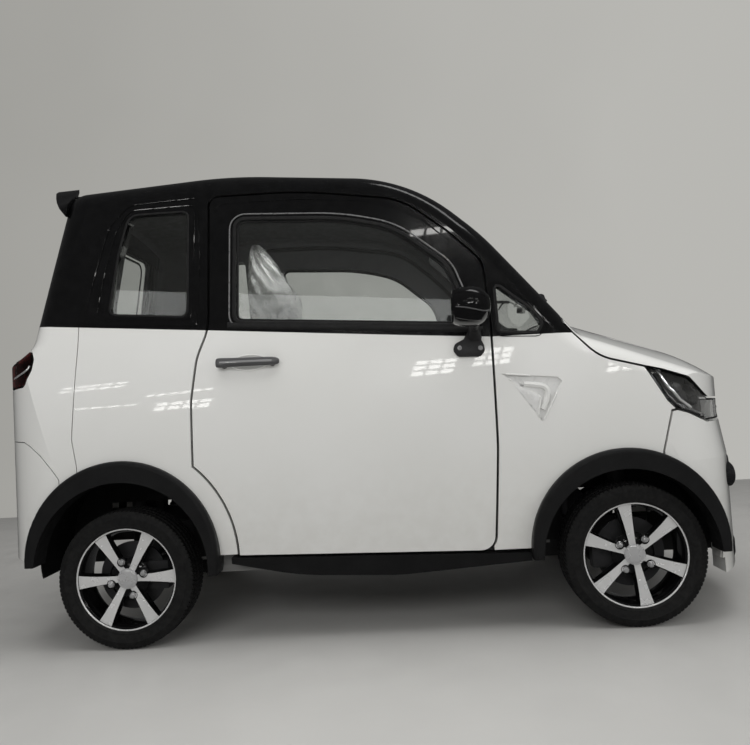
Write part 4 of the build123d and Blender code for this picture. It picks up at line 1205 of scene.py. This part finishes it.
def cushion_shape(u, v, w, a, b, c):
    """A seat base: side bolsters, a hollow for the sitter and a rolled front edge."""
    x, y, z = a * u, b * v, c * w
    if w > 0:
        side = min(1.0, max(0.0, (abs(v) - 0.55) / 0.35))
        z += 0.012 * side * side * w - 0.012 * (1.0 - side) * w * (1.0 - 0.6 * max(0.0, u))
        z -= 0.014 * max(0.0, u - 0.7) / 0.3 * w
    return Vector((x, y, z))


def back_shape(u, v, w, a, b, c):
    """A seat back: u is its thickness, w its height; the head part is narrower."""
    high = (w + 1.0) / 2.0
    wide = 1.0 - 0.34 * min(1.0, max(0.0, (high - 0.70) / 0.09)) + 0.02 * math.sin(high * math.pi)
    wide -= 0.05 * max(0.0, high - 0.92) / 0.08
    x, y, z = a * u, b * v * wide, c * w
    side = min(1.0, max(0.0, (abs(v) - 0.52) / 0.34))
    if high < 0.74:
        x += (0.013 * side * side - 0.012 * (1.0 - side)) * max(0.0, u) * min(1.0, (0.74 - high) / 0.08)
        x += 0.006 * math.exp(-((high - 0.24) / 0.13) ** 2) * max(0.0, u)
    else:
        x -= 0.006 * max(0.0, u)
    return Vector((x, y, z))


def bench_shape(u, v, w, a, b, c):
    x, y, z = a * u, b * v, c * w
    if w > 0:
        z -= 0.006 * abs(v) ** 3 * w + 0.010 * max(0.0, u - 0.6) / 0.4
    return Vector((x, y, z))


def bench_back_shape(u, v, w, a, b, c):
    x, y, z = a * u, b * v, c * w
    if u > 0:
        x -= 0.006 * abs(v) ** 3 * u
    return Vector((x, y, z))


seat_black = cloth("seat_black", (0.030, 0.030, 0.031), (0.062, 0.062, 0.062), 1000.0, 0.5, 0.3)
seat_side = Mat("seat_side", (0.022, 0.022, 0.0225), 0.48)
seat_side.vary_color(seat_side.ramp(seat_side.noise(20.0, 5.0), 0.0, 1.0), (0.034, 0.034, 0.034), 0.7)
seat_side.vary_rough(seat_side.noise(60.0, 4.0), 0.40, 0.56)
seat_side.bump(seat_side.noise(420.0, 6.0), 0.35, 0.0006)
seat_side = seat_side.mat


pad_cap = 0.010


def trim_by_place(obj, inside):
    """Gives the faces outside the sewn middle panel the second material."""
    for face in obj.data.polygons:
        face.material_index = 0 if inside(face.center, face.normal) else 1


def add_pad(name, data, place, voxel, channels, inside):
    """A pad blown up, sewn and trimmed in its own space, then moved to its place."""
    obj = bpy.data.objects.new(name, data)
    scene.collection.objects.link(obj)
    inflate(obj, voxel, pad_cap)
    sew(obj, channels)
    for mat in (seat_black, seat_side):
        obj.data.materials.append(mat)
    trim_by_place(obj, inside)
    obj.data.transform(place)
    return obj


def finish_pad(obj, replaced):
    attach(obj, "body")
    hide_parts(replaced)


def lines_at(*places):
    def near(value):
        return min(abs(value - p) for p in places)
    return near


cushion_x = lines_at(-0.10, -0.02, 0.06)
back_z = lines_at(-0.22, -0.13, -0.04, 0.05)


def cushion_channels(co, n):
    out = [(abs(abs(co.y) - 0.122), 0.0050, 0.0050)]
    if n.z > 0.3 and abs(co.y) < 0.122 and co.x < 0.13:
        out.append((cushion_x(co.x), 0.0032, 0.0050))
    if abs(n.z) < 0.9:
        out.append((abs(co.z - 0.030), 0.0030, 0.0040))
    return out


def back_channels(co, n):
    out = [(abs(co.z - 0.165), 0.0060, 0.0060)]
    if co.z < 0.165:
        out.append((abs(abs(co.y) - 0.120), 0.0050, 0.0050))
        if n.x > 0.3 and abs(co.y) < 0.120:
            out.append((back_z(co.z), 0.0032, 0.0050))
    if abs(n.x) < 0.9:
        out.append((abs(co.x - 0.018), 0.0030, 0.0040))
    return out


def bench_channels(axis, seam):
    """Channels of a bench pad that faces along this axis, with a seam round its edge."""
    def channels(co, n):
        out = [(abs(co.y), 0.0050, 0.0050)]
        if n[axis] > 0.3:
            out.append((min(abs(abs(co.y) - 0.085), abs(abs(co.y) - 0.170)), 0.0030, 0.0050))
        if abs(n[axis]) < 0.9:
            out.append((abs(co[axis] - seam), 0.0028, 0.0040))
        return out
    return channels


seat_x, seat_y, seat_z = 0.060, 0.250, 0.437
back_foot_x, back_foot_z = 0.060 - 0.220 - 0.0352, 0.402
lean = math.radians(-8.0)
cushion_data = pad_mesh("seat_cushion_form", 0.209, 0.204, 0.044, cushion_shape)
cushion_one = add_pad(
    "seat_cushion_right", cushion_data, Matrix.Translation((seat_x, -seat_y, seat_z)), 0.008,
    cushion_channels,
    lambda co, n: abs(co.y) < 0.122 and n.z > 0.2,
)
back_data = pad_mesh("seat_back_form", 0.034, 0.204, 0.366, back_shape, (6, 18, 30))
back_foot = Vector((back_foot_x, -seat_y, back_foot_z))
back_centre = back_foot + Matrix.Rotation(lean, 3, "Y") @ Vector((0, 0, 0.380))
back_one = add_pad(
    "seat_back_right", back_data, Matrix.Translation(back_centre) @ Matrix.Rotation(lean, 4, "Y"), 0.009,
    back_channels, lambda co, n: abs(co.y) < 0.120 and n.x > 0.2 and co.z < 0.165,
)


def other_side(obj, name):
    """A copy mirrored to the other side."""
    data = obj.data.copy()
    data.transform(Matrix.Scale(-1.0, 4, (0, 1, 0)))
    data.flip_normals()
    twin = bpy.data.objects.new(name, data)
    scene.collection.objects.link(twin)
    return twin


cushion_two = other_side(cushion_one, "seat_cushion_left")
back_two = other_side(back_one, "seat_back_left")
for obj in (cushion_one, back_one, cushion_two, back_two):
    finish_pad(obj, "front_seats")
bench_data = pad_mesh("bench_cushion_form", 0.139, 0.259, 0.044, bench_shape, (12, 22, 6))
bench_one = add_pad(
    "bench_cushion", bench_data, Matrix.Translation((-0.455, 0.0, 0.4563)), 0.009, bench_channels(2, 0.026),
    lambda co, n: n.z > 0.2,
)
finish_pad(bench_one, "rear_bench")
bench_lean = math.radians(-14.0)
bench_back_data = pad_mesh("bench_back_form", 0.034, 0.259, 0.186, bench_back_shape, (6, 22, 18))
bench_foot = Vector((-0.648, 0.0, 0.520))
bench_back_centre = bench_foot + Matrix.Rotation(bench_lean, 3, "Y") @ Vector((0, 0, 0.226))
bench_two = add_pad(
    "bench_back", bench_back_data,
    Matrix.Translation(bench_back_centre) @ Matrix.Rotation(bench_lean, 4, "Y"),
    0.009, bench_channels(0, 0.014), lambda co, n: n.x > 0.2,
)
finish_pad(bench_two, "rear_bench")

# Film left on the near seat back
def film_wrap(name, sign):
    """A loose clear bag over the top of a seat back, gathered to a point."""
    rng = random.Random(7)
    verts, faces = [], []
    turn = Matrix.Rotation(lean, 3, "Y")
    base = Vector((back_foot_x, sign * seat_y, back_foot_z))
    rings, steps = 110, 160
    low_z, film_high = 0.545, 0.430
    top_z, gather_high = 0.765, 0.210
    deep, wide_head, wide_more = 0.074, 0.152, 0.064
    shoulder_z, shoulder_high = 0.690, 0.060
    coarse, fine = 17.0, 43.0
    coarse_fold, fine_fold = 0.020, 0.008
    waves = [(rng.uniform(0, math.tau), rng.randint(4, 17), rng.uniform(0.4, 1.0)) for _ in range(8)]
    for i in range(rings):
        t = i / (rings - 1)
        z = low_z + film_high * t
        above = max(0.0, (z - top_z) / gather_high)
        close = max(0.0, 1.0 - above) ** 0.72
        lift = Vector((-0.034 - 0.030 * above, sign * 0.030 * above, 0.0))
        wide = wide_head + wide_more * max(0.0, min(1.0, (shoulder_z - z) / shoulder_high))
        for j in range(steps):
            a = math.tau * j / steps
            ca, sa = math.cos(a), math.sin(a)
            bulk = (abs(ca) ** 4.0 + abs(sa) ** 4.0) ** (-1.0 / 4.0)
            crease = sum(w * math.sin(n * a + p + 6.0 * t * (1 + 0.25 * n)) for p, n, w in waves) / 8.0
            r = 1.0 + (0.10 + 0.30 * above) * crease
            x = deep * bulk * ca * r * (0.10 + 0.90 * close)
            y = wide * bulk * sa * r * (0.08 + 0.92 * close)
            local = Vector((x, y, z + 0.012 * crease))
            fold = abs(noise.noise(local * coarse)) * coarse_fold
            fold += abs(noise.noise(local * fine + Vector((3, 1, 7)))) * fine_fold
            local.x *= 1.0 + fold / 0.085
            local.y *= 1.0 + fold / 0.160
            verts.append(base + turn @ local + lift)
    for i in range(rings - 1):
        for j in range(steps):
            k = (j + 1) % steps
            faces.append((i * steps + j, i * steps + k, (i + 1) * steps + k, (i + 1) * steps + j))
    faces.append(tuple((rings - 1) * steps + j for j in range(steps)))
    return piece(name, verts, faces, film, "body", sharp=180.0)


film_wrap("seat_film_right", -1)

# Front and rear fittings
def both_sides(points):
    """The outline of a shape from (y, z, radius) corners of its left half."""
    return points + [(-y, z, r) for y, z, r in reversed(points)]


nose = Skin("front_bumper")
fog_lamp_y, fog_lamp_z = 0.405, 0.452
mouth = rounded(both_sides([(0.300, 0.400, 0.025), (0.335, 0.500, 0.030)]), 6)
end_plate("nose_intake", mouth, nose, 1, 0.0022, 0.001, lamp_dark, "body", 0.002)
end_bead("nose_intake_rim", mouth, nose, 1, 0.0050, black_nylon, "body", 0.0018, 0.8, True)
for k in range(5):
    z = 0.418 + 0.016 * k
    half_bar = 0.290 + 0.006 * k
    end_bead(
        f"nose_bar_{k}", mm((-half_bar * 1000, z * 1000), (half_bar * 1000, z * 1000)), nose, 1, 0.0042,
        black_nylon, "body", 0.0034, 0.8
    )
lower_lip = rounded(both_sides([(0.400, 0.176, 0.010), (0.425, 0.225, 0.014)]), 4)
end_plate(
    "nose_lip", lower_lip, nose, 1, 0.0040, 0.001, mats["dark_plastic"], "body", 0.003
)
bright_line = mm((-300, 676), (-150, 668), (0, 666), (150, 668), (300, 676))
end_bead("nose_bright_line", bright_line, nose, 1, 0.0050, satin_strip, "body", 0.0010, 0.6)
for sign, hand in hands:
    centre = nose.end(sign * fog_lamp_y, fog_lamp_z, 1)[0]
    lathe(
        "fog_lamp_" + hand,
        [
            (0.0, 0.001), (0.030, 0.001), (0.031, 0.006), (0.036, 0.009), (0.041, 0.004), (0.042, -0.030),
            (0.0, -0.030)
        ],
        centre, [lamp_dark, bright_chrome, projector_glass], "body", "chrome_trim", steps=40, axis="X",
        marks=[2, 1, 1, 0, 0, 0],
    )
bonnet_skin = Skin("bonnet")
for sign, hand in hands:
    points, ups = [], []
    for i in range(25):
        t = i / 24
        x, y = 0.705 + 0.470 * t, sign * (0.380 - 0.120 * t)
        point, normal = bonnet_skin.top(x, y, -0.0026)
        points.append(point)
        ups.append(normal)
    tube(
        "bonnet_crease_" + hand, points, 0.0080, mats["white_paint"], "bonnet", segments=12,
        flat=0.45, up=ups, taper=[0.4 + 0.6 * math.sin(math.pi * i / 24) for i in range(25)]
    )

tail_skin = Skin("rear_bumper")
gate_face = Skin("tailgate")
skirt = rounded(both_sides([(0.395, 0.318, 0.012), (0.425, 0.405, 0.020)]), 4)
end_plate(
    "tail_skirt", skirt, tail_skin, -1, 0.0045, 0.001, mats["dark_plastic"], "body", 0.003
)
for sign, hand in hands:
    reflector = rounded(
        [
            (sign * 0.300, 0.448, 0.006), (sign * 0.400, 0.448, 0.006), (sign * 0.400, 0.472, 0.006),
            (sign * 0.300, 0.472, 0.006)
        ],
        4
    )
    end_plate(
        "reflector_" + hand, reflector, tail_skin, -1, 0.0040, 0.001, mats["red_lens"], "body",
        0.0015
    )
recess = rounded(both_sides([(0.190, 0.790, 0.014), (0.205, 0.925, 0.018)]), 5)
end_plate(
    "plate_panel", recess, gate_face, -1, 0.0016, 0.001, mats["dark_plastic"], "tailgate",
    0.001
)
end_bead(
    "plate_panel_rim", recess, gate_face, -1, 0.0040, mats["white_paint"], "tailgate",
    0.0012, 0.8, True
)
end_bead(
    "gate_bar", mm((-215, 958), (0, 962), (215, 958)), gate_face, -1, 0.0110, satin_strip, "tailgate",
    0.0030, 0.7
)
gate_glass_rim = rounded(both_sides([(0.330, 1.128, 0.050), (0.300, 1.455, 0.050)]), 6)
gate_both = Skin("tailgate", "tailgate_glass")
end_bead(
    "gate_glass_rim", gate_glass_rim, gate_both, -1, 0.0050, seal_rubber, "tailgate",
    0.0006, 0.6, True
)
for sign, hand in hands:
    # rows of (y, rear x, rear z, lower x, lower z, front x, front z)
    rows = (
        (0.350, -1.100, 1.600, -1.036, 1.552, -1.022, 1.603),
        (0.368, -1.100, 1.588, -1.034, 1.530, -1.021, 1.594),
        (0.386, -1.092, 1.563, -1.031, 1.505, -1.020, 1.575),
        (0.405, -1.080, 1.541, -1.028, 1.486, -1.019, 1.556),
        (0.424, -1.066, 1.523, -1.030, 1.479, -1.022, 1.537),
        (0.437, -1.052, 1.509, -1.034, 1.480, -1.027, 1.520),
    )
    verts, faces = [], []
    for y, rx, rz, lx, lz, fx, fz in rows:
        for x, z in ((rx, rz), (rx + 0.004, rz - 0.010), (lx, lz), (fx, fz - 0.012), (fx, fz)):
            verts.append((x, sign * y, z))
    for i in range(len(rows) - 1):
        for j in range(5):
            k = (j + 1) % 5
            faces.append((i * 5 + j, i * 5 + k, (i + 1) * 5 + k, (i + 1) * 5 + j))
    faces.append(tuple(range(5)))
    faces.append(tuple((len(rows) - 1) * 5 + j for j in range(5)))
    piece("spoiler_end_" + hand, verts, faces, mats["black_paint"], "tailgate", sharp=40.0)
brake_bar = rounded(both_sides([(0.120, 1.508, 0.006), (0.120, 1.524, 0.006)]), 4)
end_plate(
    "high_brake_lamp", brake_bar, gate_face, -1, 0.0050, 0.001, mats["red_lens"], "tailgate",
    0.0015
)

# Dashboard and steering wheel
board = Skin("dashboard")
binnacle_y, binnacle_z = 0.250, 0.912
binnacle = []
for i in range(13):
    a = math.pi * i / 12
    binnacle.append((0.135 * math.cos(a), 0.062 * math.sin(a)))
verts, faces = [], []
for x, grow, drop in (
    (0.446, 1.0, 0.0), (0.440, 1.04, 0.0), (0.470, 1.02, 0.002), (0.540, 0.80, 0.012), (0.590, 0.50, 0.026)
):
    for y, z in binnacle:
        verts.append((x, binnacle_y + y * grow, binnacle_z + max(0.0, z * grow - drop)))
for r in range(4):
    for i in range(12):
        faces.append((r * 13 + i, r * 13 + i + 1, (r + 1) * 13 + i + 1, (r + 1) * 13 + i))
piece("binnacle_hood", verts, faces, black_nylon, "body")
screen_face = [(0.450, binnacle_y + y * 0.93, 0.913 + z * 0.88) for y, z in binnacle]
piece("binnacle_face", screen_face, [tuple(range(13))], mats["mirror_black"], "body")
for k, y in enumerate((-0.330, 0.020, 0.430)):
    vent = rounded(
        [
            (y - 0.045, 0.830, 0.012), (y + 0.045, 0.830, 0.012), (y + 0.045, 0.880, 0.012),
            (y - 0.045, 0.880, 0.012)
        ],
        4
    )
    end_plate(f"vent_{k}", vent, board, -1, 0.0030, 0.001, lamp_dark, "body", 0.001)
    for j in range(3):
        z = 842 + 13 * j
        end_bead(
            f"vent_bar_{k}_{j}", mm((y * 1000 - 40, z), (y * 1000 + 40, z)), board, -1, 0.0028, black_nylon,
            "body", 0.0040
        )
glove = rounded(
    [(-0.440, 0.680, 0.020), (-0.120, 0.680, 0.020), (-0.120, 0.800, 0.020), (-0.440, 0.800, 0.020)], 4
)
end_bead("glove_line", glove, board, -1, 0.0020, seam_dark, "body", 0.0004, 0.8, True)
radio = rounded(
    [(-0.085, 0.700, 0.008), (0.085, 0.700, 0.008), (0.085, 0.800, 0.008), (-0.085, 0.800, 0.008)], 4
)
end_plate(
    "radio_face", radio, board, -1, 0.0040, 0.001, mats["mirror_black"], "body", 0.0015
)
hub_place = Vector((0.35916, 0.250, 0.84319))
hub_axis = Vector((-0.882948, 0.0, 0.469472))
face_turn = Vector((0, 0, 1)).rotation_difference(hub_axis).to_matrix()
verts, faces = [], []
pad_rings = ((0.0, 0.052), (0.030, 0.050), (0.052, 0.046), (0.062, 0.036), (0.064, 0.020))
steps = 40
for r, h in pad_rings:
    for j in range(steps):
        a = math.tau * j / steps
        bulk = (abs(math.cos(a)) ** 4 + abs(math.sin(a)) ** 4) ** -0.25
        verts.append(
            hub_place + face_turn @ Vector(
                (r * bulk * math.cos(a), r * bulk * math.sin(a) * 1.15, h - 0.012)
            )
        )
for i in range(len(pad_rings) - 1):
    for j in range(steps):
        k = (j + 1) % steps
        faces.append((i * steps + j, i * steps + k, (i + 1) * steps + k, (i + 1) * steps + j))
piece("wheel_pad", verts, faces, black_nylon, "steering_wheel")

# The studio
def flat_material(name, color, rough):
    """A plain stage surface."""
    m = Mat(name, color, rough)
    m.vary_color(m.ramp(m.noise(1.4, 5.0), 0.0, 1.0), tuple(c * 0.93 for c in color), 0.8)
    m.vary_rough(m.noise(9.0, 4.0), rough - 0.05, rough + 0.08)
    return m.mat


floor_data = bpy.data.meshes.new("floor")
floor_data.from_pydata([(-9, -9, 0), (9, -9, 0), (9, 2.6, 0), (-9, 2.6, 0)], [], [(0, 1, 2, 3)])
floor = bpy.data.objects.new("floor", floor_data)
scene.collection.objects.link(floor)
floor_data.materials.append(flat_material("floor_mat", (0.54, 0.535, 0.52), 0.36))
floor.visible_glossy = False


def area_light(name, place, aim, size, power, color=(1.0, 1.0, 0.99)):
    data = bpy.data.lights.new(name, "AREA")
    data.shape = "RECTANGLE"
    data.size, data.size_y = size
    data.energy = power
    data.color = color
    obj = bpy.data.objects.new(name, data)
    obj.location = place
    obj.rotation_euler = (Vector(aim) - Vector(place)).to_track_quat("-Z", "Y").to_euler()
    scene.collection.objects.link(obj)
    return obj


for light in (
    area_light("top_light", (0.2, -0.8, 4.2), (0.0, 0.0, 0.6), (5.0, 2.8), 112.0),
    area_light("side_light", (-1.0, -5.4, 3.1), (0.0, 0.0, 0.6), (4.2, 1.6), 84.0),
    area_light("front_light", (4.8, -2.2, 2.2), (0.6, 0.0, 0.8), (1.6, 2.0), 40.0),
):
    light.visible_glossy = False
# the hall's windows, which only the gloss of the paint and glass mirrors
pane_verts, pane_faces = [], []
window_y = -5.2
# x, z, columns, rows, width and height of each group
pane_groups = (
    (-3.55, 2.05, 5, 2, 0.11, 0.05), (-3.35, 1.62, 4, 1, 0.14, 0.04), (-2.60, 1.85, 6, 1, 0.09, 0.05),
    (-2.50, 1.45, 4, 2, 0.12, 0.10),
    (0.20, 1.95, 3, 3, 0.12, 0.10), (0.85, 2.10, 3, 3, 0.10, 0.11), (2.20, 1.75, 2, 4, 0.12, 0.10),
    (-0.60, 3.30, 5, 1, 0.14, 0.05),
    (0.30, 4.60, 6, 1, 0.16, 0.10), (2.60, 4.20, 3, 2, 0.16, 0.12), (3.20, 2.90, 2, 3, 0.12, 0.12),
)
for gx, gz, columns, rows, wide, high in pane_groups:
    for c in range(columns):
        for r in range(rows):
            x0 = gx + c * (wide + 0.035) + r * 0.03
            z0 = gz + r * (high + 0.030) + c * 0.012
            start = len(pane_verts)
            pane_verts += [
                (x0, window_y, z0), (x0 + wide, window_y, z0 + 0.01),
                (x0 + wide + 0.02, window_y, z0 + high), (x0 + 0.02, window_y, z0 + high - 0.01)
            ]
            pane_faces.append((start, start + 1, start + 2, start + 3))
pane_data = bpy.data.meshes.new("hall_windows")
pane_data.from_pydata(pane_verts, [], pane_faces)
panes = bpy.data.objects.new("hall_windows", pane_data)
scene.collection.objects.link(panes)
pane_mat = bpy.data.materials.new("hall_window")
pane_mat.use_nodes = True
pane_inputs = pane_mat.node_tree.nodes["Principled BSDF"].inputs
pane_inputs["Base Color"].default_value = (0.0, 0.0, 0.0, 1.0)
pane_inputs["Emission Color"].default_value = (1.0, 0.99, 0.96, 1.0)
pane_inputs["Emission Strength"].default_value = 9.0
pane_data.materials.append(pane_mat)
for flag in (
    "visible_camera", "visible_diffuse", "visible_transmission", "visible_shadow", "visible_volume_scatter"
):
    setattr(panes, flag, False)
# daylight that comes in through the glass
for light in (
    area_light("cab_side", (-0.20, -0.40, 1.30), (-0.32, 0.0, 1.00), (0.36, 0.12), 1.3),
    area_light("cab_front", (0.46, 0.0, 1.18), (-0.2, 0.0, 0.85), (0.30, 0.70), 2.2),
    area_light("cab_rear", (-0.98, 0.0, 1.25), (-0.5, 0.0, 0.80), (0.20, 0.60), 1.0),
):
    light.visible_glossy = False
    light.visible_camera = False
    light.visible_transmission = False
area_light("window_roof", (1.6, -0.6, 5.4), (0.6, 0.0, 1.2), (0.8, 2.4), 9.0)
world = bpy.data.worlds.new("world")
scene.world = world
world.use_nodes = True
world_nodes = world.node_tree.nodes


def world_node(kind, links=(), **settings):
    """A node of the world's tree; links gives (socket, what comes into it)."""
    made = world_nodes.new(kind)
    for key, value in settings.items():
        setattr(made, key, value)
    for socket, source in links:
        world.node_tree.links.new(source, made.inputs[socket])
    return made


fill = world_nodes["Background"]
fill.inputs["Color"].default_value = (0.62, 0.615, 0.60, 1.0)
fill.inputs["Strength"].default_value = 0.50
dim = world_node("ShaderNodeBackground")
dim.inputs["Color"].default_value = (0.30, 0.30, 0.30, 1.0)
dim.inputs["Strength"].default_value = 0.14
# the pale hall behind, seen directly and through glass; its tone grows lighter across it as painted light
# falling on the hall, and the mottle is random tone
way_out = world_node("ShaderNodeTexCoord").outputs["Generated"]
split = world_node("ShaderNodeSeparateXYZ", [(0, way_out)])
across = world_node("ShaderNodeMapRange", [("Value", split.outputs["X"])])
across.inputs["From Min"].default_value = -0.55
across.inputs["From Max"].default_value = 0.50
mottle = world_node("ShaderNodeTexNoise", [("Vector", way_out)])
mottle.inputs["Scale"].default_value = 3.0
mottle.inputs["Detail"].default_value = 3.0
blend_links = [(0, mottle.outputs["Fac"]), (2, across.outputs["Result"])]
blend = world_node("ShaderNodeMath", blend_links, operation="MULTIPLY_ADD")
blend.inputs[1].default_value = 0.35
tone = world_node("ShaderNodeMix", data_type="RGBA")
tone.inputs[6].default_value = (0.32, 0.315, 0.295, 1.0)
tone.inputs[7].default_value = (0.48, 0.475, 0.45, 1.0)
world.node_tree.links.new(blend.outputs[0], tone.inputs[0])
hall = world_node("ShaderNodeBackground", [("Color", tone.outputs[2])])
path = world_node("ShaderNodeLightPath")
glossy_links = [(0, path.outputs["Is Glossy Ray"]), (1, fill.outputs[0]), (2, dim.outputs[0])]
glossy_mix = world_node("ShaderNodeMixShader", glossy_links)
seen_links = [(0, path.outputs["Is Camera Ray"]), (1, path.outputs["Is Transmission Ray"])]
seen = world_node("ShaderNodeMath", seen_links, operation="MAXIMUM")
last_links = [(0, seen.outputs[0]), (1, glossy_mix.outputs[0]), (2, hall.outputs[0])]
last_mix = world_node("ShaderNodeMixShader", last_links)
world.node_tree.links.new(last_mix.outputs[0], world_nodes["World Output"].inputs["Surface"])
